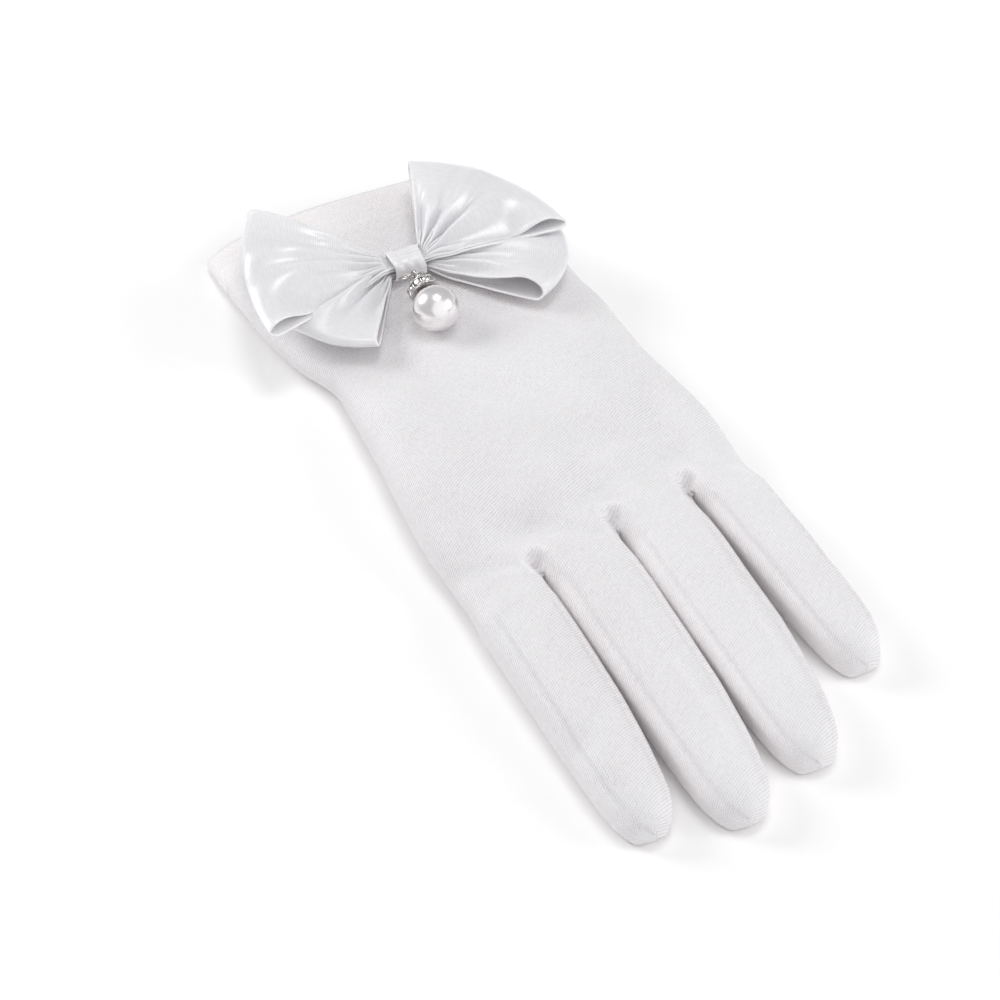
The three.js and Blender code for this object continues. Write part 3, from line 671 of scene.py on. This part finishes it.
def loopRow(bow, loop, at, across):
    step = rowAt(loopTable, at, np.arange(len(loopTable["reach"])))
    fingerSide = smooth(-across, 0, 1)
    under = 1 - step["layer"]
    angle = np.radians(loop["heading"] + across * loop["spread"] / 2 - loop["swing"] * fingerSide * under)
    tilt = (loop["cuffEdge"] - loop["fingerEdge"]) / 2 * across
    bulge = ((loop["cuffEdge"] + loop["fingerEdge"]) / 2 - loop["middle"]) * across**2
    leave = bows["knotWidth"] / 2 + bows["seamGap"] * 2
    reach = step["reach"] * (bows["loopReach"] - leave) * (loop["middle"] + tilt + bulge)
    offset, startZ = gathered(bow, step["layer"], across)
    x = loop["side"] * (leave + reach * np.cos(angle))
    y = knotY + offset * (1 - step["reach"] / 2) + reach * np.sin(angle)
    settled = float(smooth(step["reach"], 0, 0.5))
    ground = settled * (handTop(y) - handTop(knotY))
    # near the knot the finger's edge of the upper side lies on the lower side, and opens at the loop's end
    opened = smooth(step["reach"], loop["open"], loop["open"] + bows["opening"])
    closed = smooth(-across, 0.25, 1) * (1 - opened)
    lowRise = np.interp(step["reach"], loopTable["reach"][:8:-1], loopTable["rise"][:8:-1])
    rise = lerp(step["rise"], lowRise, closed * step["layer"] * bows["closedShare"])
    puff = rise * bow["puff"] * lerp(bow["under"], 1, step["layer"])
    lift = loop["lift"] * across * step["reach"] * step["layer"] * bow["puff"]
    mouthShare = bump(step["reach"], bows["mouthAt"], bows["mouthWidth"])
    mouth = loop["mouth"] * fingerSide * mouthShare * step["layer"]
    # gathers as deep as the width of ribbon that they take up
    room = np.gradient(np.stack([x, y]), across, axis=1)
    room = np.maximum(np.hypot(room[0], room[1]), 1)
    taken = np.sqrt(np.maximum((bow["ribbonWidth"] / 2 / room) ** 2 - 1, 0)) * room
    warped = across + bows["wander"] * np.sin(5.3 * across + loop["phase"])
    fine = bows["gathers"] * math.pi * warped + loop["phase"]
    coarse = bows["gathers"] / 2 * math.pi * warped + loop["phase"] + 0.6
    fineShare = 1 - smooth(step["reach"], 0.1, 0.4)
    coarseShare = smooth(step["reach"], 0.12, 0.3) * (1 - smooth(step["reach"], 0.35, 0.8))
    depth = smooth(step["reach"], 0, 0.06) * taken * bows["gatherShare"] / (bows["gathers"] * math.pi)
    pleats = depth * (fineShare * np.sin(fine) + bows["coarseDepth"] * coarseShare * np.sin(coarse))
    for start, end, height, width, run in zip(*loop["folds"].values()):
        ridge = lerp(start, end, step["reach"])
        width = width * lerp(0.8, 1.6, step["reach"])
        fade = smooth(step["reach"], 0.02, 0.25) * (1 - smooth(step["reach"], 0.5 * run, 1.05 * run))
        pleats = pleats + bows["foldHeight"] * height * fade * (bump(across, ridge, width) - 0.3)
    return np.stack([x, y, startZ + ground + puff + lift + mouth + pleats], 1)


def ribbonBow(name, bow):
    across = np.linspace(-1, 1, bows["acrossSteps"] + 1)
    places = np.linspace(0, len(loopTable["reach"]) - 1, bows["loopSteps"])
    right, left = bow["loops"]

    def knotRow(layer):
        offset, z = gathered(bow, layer, across)
        return np.stack([np.zeros_like(across), knotY + offset, np.full_like(across, z)], 1)

    rows = [knotRow(1), *(loopRow(bow, right, at, across) for at in places), knotRow(0)]
    rows += [loopRow(bow, left, at, across) for at in places[::-1]]
    middle = np.array(rows)
    # the ribbon's wall stands on both sides of its middle, square to the cloth
    along = np.roll(middle, -1, axis=0) - np.roll(middle, 1, axis=0)
    over = np.gradient(middle, axis=1)
    out = np.cross(along, over)
    out /= np.maximum(np.linalg.norm(out, axis=2, keepdims=True), 1e-9)
    half = bows["wall"] / 2 * np.ones(len(across))
    half += bows["selvage"] * bump(np.abs(across), 0.97, 0.025)  # woven edges are a little thicker
    half[[0, -1]] = bows["wall"] * 0.3
    top = middle + out * half[None, :, None]
    under = middle - out * half[None, :, None]
    ring = np.concatenate([top, under[:, ::-1]], axis=1)
    points = ring.reshape(-1, 3)
    quads = turnedOut(points, closedQuads(*ring.shape[:2]))
    steps = np.diff(middle[:, len(across) // 2], axis=0)
    run = np.concatenate([[0], np.cumsum(np.linalg.norm(steps, axis=1))])
    print(name, "runs", round(run[-1], 1), "mm")
    flow = np.zeros((*ring.shape[:2], 2))
    flow[..., 0] = np.concatenate([across, across[::-1]])[None] * bows["weaveWidth"] / 2
    flow[..., 1] = run[:, None]
    return meshPiece(name, points + cuffPlace, quads, flow.reshape(-1, 2))


upperRibbon = ribbonBow("upperRibbonBow", upperBow)
lowerRibbon = ribbonBow("lowerRibbonBow", lowerBow)
print("bows:", len(upperRibbon.data.polygons), "and", len(lowerRibbon.data.polygons), "faces")


# The knot's band

band = {
    "wall": 0.45, "around": 96, "across": 30, "square": 0.62, "pull": 0.35, "folds": 3, "foldDepth": 0.16,
    "inset": 0.25, "skew": 0.25, "flowReach": 3.5,
}


def knotLoop():
    turn = np.linspace(0, 2 * math.pi, band["around"], endpoint=False)
    width = np.linspace(-1, 1, band["across"] + 1)
    middleZ, halfZ = (bandTop + bandFloor) / 2, (bandTop - bandFloor) / 2
    cosine, sine = np.cos(turn), np.sin(turn)
    # a soft square loop
    y = bandReach * np.sign(cosine) * np.abs(cosine) ** band["square"]
    z = halfZ * np.sign(sine) * np.abs(sine) ** band["square"]
    rows = []
    for share in width:
        pull = 1 - band["pull"] / halfZ * (1 - share**2) * 0.5
        fold = band["foldDepth"] * np.cos(band["folds"] * math.pi * share + 0.7 * np.sin(turn + 0.4))
        radius = 1 + (fold * 0.5 - band["inset"]) / halfZ
        wide = share * bows["knotWidth"] / 2 * (1 + 0.05 * np.sin(2 * turn))
        x = wide + band["skew"] * np.sin(turn * 2 + 1)
        rows.append(np.stack([x, knotY + y * pull * radius, middleZ + z * pull * radius], 1))
    outer = np.array(rows)
    outward = outer - np.array([0, knotY, middleZ])
    outward[..., 0] = 0
    outward /= np.linalg.norm(outward, axis=2, keepdims=True)
    inner = outer - outward * band["wall"]
    loops = np.concatenate([outer, inner[::-1]])
    points = loops.reshape(-1, 3)
    quads = turnedOut(points, closedQuads(*loops.shape[:2]))
    flow = np.zeros((*loops.shape[:2], 2))
    flow[..., 0] = (np.concatenate([width, width[::-1]]) * bows["knotWidth"] / 2)[:, None]
    flow[..., 1] = (turn * band["flowReach"])[None]
    return meshPiece("knotBand", points + cuffPlace, quads, flow.reshape(-1, 2))


knotPiece = knotLoop()
print("knot band:", len(knotPiece.data.polygons), "faces")


# The bead drop

drop = {
    "beadDiameter": 10.4, "boreShare": 0.7, "wire": 0.7, "clearance": 0.3, "rondelleDiameter": 7.4,
    "rondelleWidth": 2.4, "flangeWall": 0.42, "flangeWave": 0.3, "coreDiameter": 4.6, "stones": 9,
    "stoneDiameter": 1.75, "stoneHeight": 1.15, "stoneSeat": 0.62, "clawSeat": 0.82,
    "eyeDiameter": 3.4, "neckDiameter": 1.5, "neckLength": 1.6, "coilWire": 0.4,
    "ringDiameter": 6, "ringWire": 0.6, "ringTilt": 38, "restGap": 0.3,
}
# the drop lies along -Y from the knot's front face, at the height of the bead
dropPlace = np.array([boxMiddle("bead")[0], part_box("knot_band")[0][1] / mm, boxMiddle("bead")[2]])
ringTurn = math.radians(drop["ringTilt"])
ringRadius = (drop["ringDiameter"] - drop["ringWire"]) / 2
ringY = -drop["restGap"] - drop["ringWire"] / 2 - ringRadius * math.cos(ringTurn)
eyeY = ringY - ringRadius * math.cos(ringTurn)
eyeRadius = (drop["eyeDiameter"] - drop["wire"]) / 2
neckEnd = eyeY - drop["eyeDiameter"] / 2 - drop["neckLength"]
rondelleY = neckEnd - drop["restGap"] - drop["rondelleWidth"] / 2
beadY = rondelleY - drop["rondelleWidth"] / 2 - drop["restGap"] - drop["beadDiameter"] / 2
boreEnd = beadY + drop["beadDiameter"] * (0.5 - drop["boreShare"])


def dropPiece(name, part):
    return meshPiece(name, part[0] + dropPlace, part[1])


# A closed profile turned about the pin, given as [distance from the pin, place along it]
def turned(profile, sides, radiusAt=None):
    profile = np.asarray(profile, float)
    turn = np.linspace(0, 2 * math.pi, sides, endpoint=False)
    radius = profile[:, :1] * np.ones(sides)[None]
    if radiusAt is not None:
        radius = radiusAt(radius, turn[None])
    along = profile[:, 1:] * np.ones(sides)[None]
    points = np.stack([radius * np.cos(turn), along, radius * np.sin(turn)], -1)
    return outFacing(points.reshape(-1, 3), closedQuads(len(profile), sides).tolist())


# Turns every face outward, by the volume that they enclose
def outFacing(points, faces):
    volume = 0
    for face in faces:
        first = points[face[0]]
        for b, c in zip(face[1:-1], face[2:]):
            volume += first @ np.cross(points[b], points[c])
    return (points, faces) if volume > 0 else (points, [list(face)[::-1] for face in faces])


def joined(parts):
    points, quads, count = [], [], 0
    for p, q in parts:
        points.append(p)
        quads += [[int(i) + count for i in face] for face in q]
        count += len(p)
    return np.concatenate(points), quads


# A wire bent to a ring about the Y axis, the X axis or the Z axis
def wireRing(radius, wire, axis, sides=14, steps=64):
    turn = np.linspace(0, 2 * math.pi, steps, endpoint=False)
    around = np.linspace(0, 2 * math.pi, sides, endpoint=False)
    far = radius + wire / 2 * np.cos(around)[None]
    up = wire / 2 * np.sin(around)[None] * np.ones(steps)[:, None]
    a, b = far * np.cos(turn)[:, None], far * np.sin(turn)[:, None]
    points = {"x": [up, a, b], "y": [a, up, b], "z": [a, b, up]}[axis]
    return outFacing(np.stack(points, -1).reshape(-1, 3), closedQuads(steps, sides).tolist())


# A round body with both ends closed, from a profile given as [radius, place along the pin]
def roundRod(profile, sides):
    profile = np.asarray(profile, float)
    turn = np.linspace(0, 2 * math.pi, sides, endpoint=False)
    points = np.stack([
        profile[:, :1] * np.cos(turn), profile[:, 1:] * np.ones(sides)[None], profile[:, :1] * np.sin(turn),
    ], -1).reshape(-1, 3)
    ids = np.arange(len(profile) * sides).reshape(len(profile), sides)
    return outFacing(points, [*ringQuads(ids).tolist(), ids[0][::-1].tolist(), ids[-1].tolist()])


def moved(part, shift):
    return part[0] + np.array(shift), part[1]


# The bead is bored from the rondelle's side, and the pin is glued into it
def pearlShape():
    bore, radius = drop["wire"] / 2 + drop["clearance"], drop["beadDiameter"] / 2
    arc = np.linspace(0.01, math.pi - math.asin(bore / radius), 72)
    ball = np.stack([radius * np.sin(arc), beadY - radius * np.cos(arc)], 1)
    down = np.stack([np.full(8, bore), np.linspace(ball[-1, 1], boreEnd, 9)[1:]], 1)
    return roundRod(np.concatenate([ball, down]), 96)


def eyePinShape():
    wire = drop["wire"] / 2
    parts = [moved(wireRing(eyeRadius, drop["wire"], "x"), [0, eyeY, 0])]
    parts.append(roundRod([[wire, eyeY - eyeRadius], [wire, boreEnd + drop["clearance"]]], 20))
    coils = round(drop["neckLength"] / drop["coilWire"])
    for i in range(coils):
        coil = wireRing((drop["neckDiameter"] - drop["coilWire"]) / 2, drop["coilWire"] * 0.98, "y", steps=36)
        parts.append(moved(coil, [0, neckEnd + drop["coilWire"] * (i + 0.5), 0]))
    return joined(parts)


def sewnRingShape():
    points, faces = wireRing(ringRadius, drop["ringWire"], "z")
    y, z = points[:, 1].copy(), points[:, 2].copy()
    points[:, 1] = ringY + y * math.cos(ringTurn) + z * math.sin(ringTurn)
    points[:, 2] = -ringRadius * math.sin(ringTurn) - y * math.sin(ringTurn) + z * math.cos(ringTurn)
    return points, faces


beadPiece = dropPiece("pearlBead", pearlShape())
pinPiece = dropPiece("eyePin", eyePinShape())
ringPiece = dropPiece("sewnRing", sewnRingShape())


# The rondelle's silver: a spool with two waved flanges and a claw between every two stones
def rondelleShape():
    half, wall = drop["rondelleWidth"] / 2, drop["flangeWall"]
    bore = drop["wire"] / 2 + drop["clearance"]
    core, rim = drop["coreDiameter"] / 2, drop["rondelleDiameter"] / 2
    lower = [
        [bore, -half], [core * 0.7, -half], [rim - 0.5, -half], [rim - 0.12, -half + 0.04],
        [rim, -half + wall * 0.5], [rim - 0.12, -half + wall], [rim - 0.6, -half + wall + 0.04],
        [core + 0.2, -half + wall + 0.1], [core, -half + wall + 0.3],
    ]
    profile = lower + [[far, -up] for far, up in lower[::-1]]
    stones = drop["stones"]

    def waved(radius, turn):
        share = smooth(radius, core + 0.3, rim)
        return radius - drop["flangeWave"] * share * (1 + np.cos(turn * stones)) / 2

    parts = [turned(profile, stones * 16, waved)]
    for i in range(stones):
        angle = 2 * math.pi * (i + 0.5) / stones
        ends = [0.16, -half + wall * 0.6], [0.16, half - wall * 0.6]
        claw = roundRod([ends[0], [0.22, -half + wall], [0.22, half - wall], ends[1]], 10)
        far = core + drop["clawSeat"]
        parts.append(moved(claw, [far * math.cos(angle), 0, far * math.sin(angle)]))
    return moved(joined(parts), [0, rondelleY, 0])


rondellePiece = dropPiece("rondelleSetting", rondelleShape())


# One cut stone, its table up, as a plain mesh for the ring of stones
def cutStone():
    radius, height = drop["stoneDiameter"] / 2, drop["stoneHeight"]
    sides = 8
    levels = [(0.12, -0.5), (1, 0.0), (1, 0.08), (0.86, 0.3), (0.55, 0.5)]
    points, faces = [], []
    for level, (share, up) in enumerate(levels):
        shift = 0.5 if level == 3 else 0
        for i in range(sides):
            angle = 2 * math.pi * (i + shift) / sides
            points.append([share * radius * math.cos(angle), share * radius * math.sin(angle), up * height])
    for level in range(len(levels) - 1):
        a, b = level * sides, (level + 1) * sides
        for i in range(sides):
            j = (i + 1) % sides
            if level == 2:
                faces += [[a + i, a + j, b + i], [a + j, b + j, b + i]]
            elif level == 3:
                faces += [[a + i, b + j, b + i], [a + i, a + j, b + j]]
            else:
                faces.append([a + i, a + j, b + j, b + i])
    faces.append(list(range(sides))[::-1])
    faces.append([(len(levels) - 1) * sides + i for i in range(sides)])
    stone = meshPiece("cutStone", points, faces)
    stone.data.polygons.foreach_set("use_smooth", np.zeros(len(stone.data.polygons), bool))
    return stone


# A tree that sets copies of one shape on a ring, facing outward
def ringOfStones(stone, material):
    tree = bpy.data.node_groups.new("ring of stones", "GeometryNodeTree")
    inputs = {
        "Geometry": "Geometry", "Stone": "Object", "Count": "Int", "Radius": "Float", "Material": "Material",
    }
    for name, kind in inputs.items():
        tree.interface.new_socket(name, in_out="INPUT", socket_type="NodeSocket" + kind)
    tree.interface.new_socket("Geometry", in_out="OUTPUT", socket_type="NodeSocketGeometry")
    given = addNode(tree, "NodeGroupInput")
    circle = addNode(tree, "GeometryNodeMeshCircle", links={
        "Vertices": given.outputs["Count"], "Radius": given.outputs["Radius"]})
    place = addNode(tree, "GeometryNodeInputPosition")
    facing = addNode(tree, "FunctionNodeAlignEulerToVector", {"axis": "Z"},
                     links={"Vector": place.outputs[0]})
    shape = addNode(tree, "GeometryNodeObjectInfo", links={"Object": given.outputs["Stone"]})
    copies = addNode(tree, "GeometryNodeInstanceOnPoints", links={
        "Points": circle.outputs["Mesh"], "Instance": shape.outputs["Geometry"],
        "Rotation": facing.outputs[0]})
    real = addNode(tree, "GeometryNodeRealizeInstances", links={"Geometry": copies.outputs[0]})
    dressed = addNode(tree, "GeometryNodeSetMaterial", links={
        "Geometry": real.outputs[0], "Material": given.outputs["Material"]})
    addNode(tree, "NodeGroupOutput", links={"Geometry": dressed.outputs[0]})
    holder = meshPiece("stoneRing", [[0, 0, 0]], [])
    modifier = holder.modifiers.new("stones", "NODES")
    modifier.node_group = tree
    sockets = {item.name: item.identifier for item in tree.interface.items_tree if item.in_out == "INPUT"}
    modifier[sockets["Stone"]] = stone
    modifier[sockets["Count"]] = drop["stones"]
    modifier[sockets["Radius"]] = (drop["coreDiameter"] / 2 + drop["stoneSeat"]) * mm
    modifier[sockets["Material"]] = material
    return bakedPiece(holder, "rondelleStones")


# The evaluated result of an object's modifiers as a plain piece
def bakedPiece(holder, name):
    bpy.context.view_layer.update()
    graph = bpy.context.evaluated_depsgraph_get()
    mesh = bpy.data.meshes.new_from_object(holder.evaluated_get(graph))
    mesh.name = name
    piece = bpy.data.objects.new(name, mesh)
    bpy.context.scene.collection.objects.link(piece)
    bpy.data.objects.remove(holder)
    return piece


# Materials

def linear(text):
    channels = [int(text[i:i + 2], 16) / 255 for i in (0, 2, 4)]
    return (*(c / 12.92 if c <= 0.04045 else ((c + 0.055) / 1.055) ** 2.4 for c in channels), 1)


# Adds a node with its settings, the values of its sockets, the links into them, and a colour ramp's two stops
def addNode(tree, kind, settings=None, values=None, links=None, ramp=()):
    made = tree.nodes.new(kind)
    for name, value in (settings or {}).items():
        setattr(made, name, value)
    for name, value in (values or {}).items():
        made.inputs[name].default_value = value
    for name, source in (links or {}).items():
        tree.links.new(source, made.inputs[name])
    for i, (place, colour) in enumerate(ramp):
        made.color_ramp.elements[i].position = place
        made.color_ramp.elements[i].color = linear(colour)
    return made


# A material of one shader, with the finish that is the same all over its surface
def newMaterial(name, finish):
    material = bpy.data.materials.new(name)
    material.use_nodes = True
    tree = material.node_tree
    tree.nodes.clear()
    shader = addNode(tree, "ShaderNodeBsdfPrincipled", values=finish)
    addNode(tree, "ShaderNodeOutputMaterial", links={"Surface": shader.outputs[0]})
    return material, tree, shader


# Blender's wave texture has 20 / (2 pi) bands to a unit of its scale
def bandScale(pitch):
    return 2 * math.pi / (20 * pitch * mm)


# The threads give a cloth its two tones and its relief
def finishCloth(tree, shader, tones, ramp, threads, strength, depth):
    tone = addNode(tree, "ShaderNodeValToRGB", links={"Fac": tones.outputs[0]}, ramp=ramp)
    tree.links.new(tone.outputs[0], shader.inputs["Base Color"])
    raised = addNode(tree, "ShaderNodeBump", None, {"Strength": strength, "Distance": depth * mm},
                     {"Height": threads.outputs[0]})
    tree.links.new(raised.outputs[0], shader.inputs["Normal"])


# Warp knit satin, brushed by wear: slanting rows of fine stitches, with a soft sheen over them. The real rows
# are 0.43 mm apart, which is two pixels of the render, so they are drawn coarser, at 0.58 mm.
def knitSatin():
    knit = {"pitch": 0.58, "light": "FCF7F7", "dark": "D2CCCC", "bump": 0.14, "speck": 0.8}
    material, tree, shader = newMaterial("warp knit satin", {
        "Roughness": 0.5, "IOR": 1.5, "Sheen Weight": 0.35, "Sheen Roughness": 0.4,
        # light spreads through the thin white cloth and keeps its folds bright
        "Subsurface Weight": 0.7, "Subsurface Radius": (1, 0.94, 0.84), "Subsurface Scale": 0.002,
    })
    place = addNode(tree, "ShaderNodeUVMap", {"uv_map": "cloth"})
    body = addNode(tree, "ShaderNodeTexCoord")
    # the ribs waver a little
    waver = addNode(tree, "ShaderNodeTexNoise", None, {"Scale": 90, "Detail": 2},
                    {"Vector": body.outputs["Object"]})
    wavering = addNode(tree, "ShaderNodeVectorMath", {"operation": "SCALE"}, {"Scale": 0.0003},
                       {0: waver.outputs["Color"]})
    wavered = addNode(tree, "ShaderNodeVectorMath", {"operation": "ADD"}, None,
                      {0: place.outputs[0], 1: wavering.outputs[0]})
    # slanting rows of stitches, crossed by finer ribs: the angle in degrees and the share of each
    ribs = None
    for angle, weight in ((-120, 0.75), (0, 0.15), (-60, 0.1)):
        slanted = addNode(tree, "ShaderNodeMapping", None, {"Rotation": (0, 0, math.radians(angle))},
                          {"Vector": wavered.outputs[0]})
        bands = addNode(tree, "ShaderNodeTexWave", {"wave_type": "BANDS", "bands_direction": "X"},
                        {"Scale": bandScale(knit["pitch"])}, {"Vector": slanted.outputs[0]})
        ribs = addNode(tree, "ShaderNodeMath", {"operation": "MULTIPLY_ADD"}, {1: weight, 2: 0},
                       {0: bands.outputs["Fac"], **({2: ribs.outputs[0]} if ribs else {})})
    # specks of the brushed yarn, stretched along the hand, and a faint unevenness over centimetres
    finest = 1 / (knit["pitch"] * mm)
    stretched = addNode(tree, "ShaderNodeMapping", None, {"Scale": (finest, 0.35 * finest, 1)},
                        {"Vector": place.outputs[0]})
    specks = addNode(tree, "ShaderNodeTexNoise", None, {"Scale": 1.2, "Detail": 3, "Roughness": 0.7},
                     {"Vector": stretched.outputs[0]})
    cloud = addNode(tree, "ShaderNodeTexNoise", None, {"Scale": 38, "Detail": 3},
                    {"Vector": body.outputs["Object"]})
    total = addNode(tree, "ShaderNodeMath", {"operation": "MULTIPLY_ADD"}, {1: 0.6, 2: 0},
                    {0: ribs.outputs[0]})
    for layer, weight in ((specks, 0.75), (cloud, 0.4)):
        total = addNode(tree, "ShaderNodeMath", {"operation": "MULTIPLY_ADD"}, {1: weight},
                        {0: layer.outputs["Fac"], 2: total.outputs[0]})
    height = addNode(tree, "ShaderNodeMath", {"operation": "MULTIPLY_ADD"}, {1: knit["speck"]},
                     {0: specks.outputs["Fac"], 2: ribs.outputs[0]})
    ramp = (0.42, knit["dark"]), (1, knit["light"])
    finishCloth(tree, shader, total, ramp, height, 0.5, knit["bump"])
    return material


# Woven polyester satin ribbon: long smooth floats give it a broad gloss along its folds. Its threads are too
# fine to show, so the floats are drawn 0.5 mm apart.
def ribbonSatin():
    weave = {"pitch": 0.5, "light": "EFEEF0", "dark": "DFDEE1", "bump": 0.035}
    material, tree, shader = newMaterial("woven satin ribbon", {
        "Roughness": 0.3, "IOR": 1.5, "Specular IOR Level": 1, "Anisotropic": 0.4,
        "Sheen Weight": 0.4, "Sheen Roughness": 0.3,
        # the ribbon is thin enough to let light through
        "Subsurface Weight": 0.5, "Subsurface Radius": (1, 0.98, 0.96), "Subsurface Scale": 0.001,
    })
    place = addNode(tree, "ShaderNodeUVMap", {"uv_map": "cloth"})
    floats = addNode(tree, "ShaderNodeTexWave", {"wave_type": "BANDS", "bands_direction": "Y"},
                     {"Scale": bandScale(weave["pitch"]), "Distortion": 0.6, "Detail": 1},
                     {"Vector": place.outputs[0]})
    stretched = addNode(tree, "ShaderNodeMapping", None, {"Scale": (400, 2200, 1)},
                        {"Vector": place.outputs[0]})
    threads = addNode(tree, "ShaderNodeTexNoise", None, {"Scale": 1, "Detail": 3},
                      {"Vector": stretched.outputs[0]})
    woven = addNode(tree, "ShaderNodeMath", {"operation": "MULTIPLY_ADD"}, {1: 0.4},
                    {0: floats.outputs["Fac"], 2: threads.outputs["Fac"]})
    ramp = (0.3, weave["dark"]), (0.9, weave["light"])
    finishCloth(tree, shader, woven, ramp, woven, 0.25, weave["bump"])
    return material


# A hard finish whose colour drifts between two tones with a pattern in the body of the piece
def cloudedFinish(name, finish, kind, pattern, output, ramp):
    material, tree, shader = newMaterial(name, finish)
    body = addNode(tree, "ShaderNodeTexCoord")
    clouds = addNode(tree, kind, None, pattern, {"Vector": body.outputs["Object"]})
    tone = addNode(tree, "ShaderNodeValToRGB", links={"Fac": clouds.outputs[output]}, ramp=ramp)
    tree.links.new(tone.outputs[0], shader.inputs["Base Color"])
    return material


clothMaterial, ribbonMaterial = knitSatin(), ribbonSatin()
# Bright silver plate: polished, with faint swirls from tumbling
silver = cloudedFinish(
    "polished silver plate", {"Metallic": 1, "Roughness": 0.2},
    "ShaderNodeTexNoise", {"Scale": 900, "Detail": 3}, "Fac", ((0, "A9A5A2"), (1, "DCDAD8")))
# Foil-backed rhinestone glass: sharp facets that catch the lights
crystal = cloudedFinish(
    "foil backed crystal", {"Metallic": 0.85, "Roughness": 0.06, "Coat Weight": 1, "Coat Roughness": 0.02},
    "ShaderNodeTexVoronoi", {"Scale": 1400}, "Distance", ((0, "FFFFFF"), (1, "8F8B90")))
# Pearl lacquer over a plastic bead: a bright clear coat over a milky body, clouded by the dipping
pearl = cloudedFinish(
    "pearl lacquer", {"Metallic": 0.85, "Roughness": 0.26, "Coat Weight": 0.3, "Coat Roughness": 0.12},
    "ShaderNodeTexNoise", {"Scale": 260, "Detail": 2}, "Fac", ((0.25, "F2EFF0"), (0.75, "FFFCFC")))
stone = cutStone()
stonePiece = ringOfStones(stone, crystal)
bpy.data.objects.remove(stone)
# the ring of stones is made about Z, so its axis is laid along the pin
ringPoints = np.array([v.co for v in stonePiece.data.vertices]) / mm
ringPoints = ringPoints[:, [0, 2, 1]] * [1, -1, 1] + [0, rondelleY, 0] + dropPlace
stonePiece.data.vertices.foreach_set("co", (ringPoints * mm).astype(np.float32).ravel())
stonePiece.data.update()
faceCounts = len(rondellePiece.data.polygons), len(stonePiece.data.polygons)
print("drop:", faceCounts[0], "setting faces,", faceCounts[1], "stone faces")

dressing = [
    (gloveBody, clothMaterial, "satin", [
        "back_panel", "palm_panel",
        "fourchette_index_middle", "fourchette_middle_ring", "fourchette_ring_little"]),
    (thumbPouch, clothMaterial, "satin", ["thumb"]),
    (upperRibbon, ribbonMaterial, "ribbon", ["upper_bow"]),
    (lowerRibbon, ribbonMaterial, "ribbon", ["lower_bow"]),
    (knotPiece, ribbonMaterial, "ribbon", ["knot_band"]),
    (beadPiece, pearl, "pearl", ["bead"]),
    (pinPiece, silver, "silver", ["eye_pin"]),
    (ringPiece, silver, "silver", ["sewn_ring"]),
    (rondellePiece, silver, "crystal_setting", ["rondelle"]),
    (stonePiece, crystal, "crystal_setting", ["rondelle"]),
]
for piece, material, slotName, nodes in dressing:
    if not piece.data.materials:
        piece.data.materials.append(material)
    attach(piece, "root")
    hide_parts(*nodes)
for ribbon, bow in ((upperRibbon, upperBow), (lowerRibbon, lowerBow)):
    area = sum(face.area for face in ribbon.data.polygons) / 2
    print(ribbon.name, "area share", round(area / (bow["ribbonWidth"] * bow["length"] * mm * mm), 3))


# Camera, floor and light

view = {"elevation": 45, "azimuth": -24.2, "distance": 1.0, "lens": 165.6, "aimX": -6.044, "aimY": -95.376}
cameraData = bpy.data.cameras.new("camera")
cameraData.lens, cameraData.sensor_width = view["lens"], 36
camera = bpy.data.objects.new("camera", cameraData)
bpy.context.scene.collection.objects.link(camera)
aim = Vector(((cuffX + view["aimX"]) * mm, (cuffY + view["aimY"]) * mm, 0))
az, el = math.radians(view["azimuth"]), math.radians(view["elevation"])
back = Vector((math.sin(az) * math.cos(el), -math.cos(az) * math.cos(el), math.sin(el)))
camera.location = aim + back * view["distance"]
camera.rotation_euler = (-back).to_track_quat("-Z", "Y").to_euler()
cameraData.clip_start, cameraData.clip_end = 0.05, 20
bpy.context.scene.camera = camera

studio = {"floorReach": 3000, "floorColour": "FCFCFC", "skyColour": "FBFBFD", "skyStrength": 0.48}
far = studio["floorReach"]
floor = meshPiece("floor", [[-far, -far, 0], [far, -far, 0], [far, far, 0], [-far, far, 0]], [[0, 1, 2, 3]])
floor.data.materials.append(newMaterial("matt white paper", {
    "Base Color": linear(studio["floorColour"]), "Roughness": 0.9, "Specular IOR Level": 0.1})[0])


# Round soft lights: power in watts, width in metres, distance from the aim in metres, and direction
softboxes = {
    "overhead softbox": (2.6, 0.42, 1.1, (0.13, 0.117, 0.985)),
    "left softbox": (5.6, 0.6, 1.2, (-0.575, 0.67, 0.47)),
    "right softbox": (3.1, 0.55, 1.2, (0.816, -0.357, 0.45)),
    "front softbox": (8.4, 2.6, 1.3, (0.1, -0.9, 0.65)),
}
for name, (power, width, distance, direction) in softboxes.items():
    light = bpy.data.lights.new(name, "AREA")
    light.energy, light.shape, light.size = power, "DISK", width
    lamp = bpy.data.objects.new(name, light)
    lamp.location = aim + distance * Vector(direction)
    lamp.rotation_euler = (aim - lamp.location).to_track_quat("-Z", "Y").to_euler()
    bpy.context.scene.collection.objects.link(lamp)
world = bpy.data.worlds.new("studio")
bpy.context.scene.world = world
world.use_nodes = True
sky = world.node_tree.nodes["Background"]
sky.inputs["Color"].default_value = linear(studio["skyColour"])
sky.inputs["Strength"].default_value = studio["skyStrength"]
bpy.context.scene.view_settings.view_transform = "Standard"
print("camera, floor and light are set")
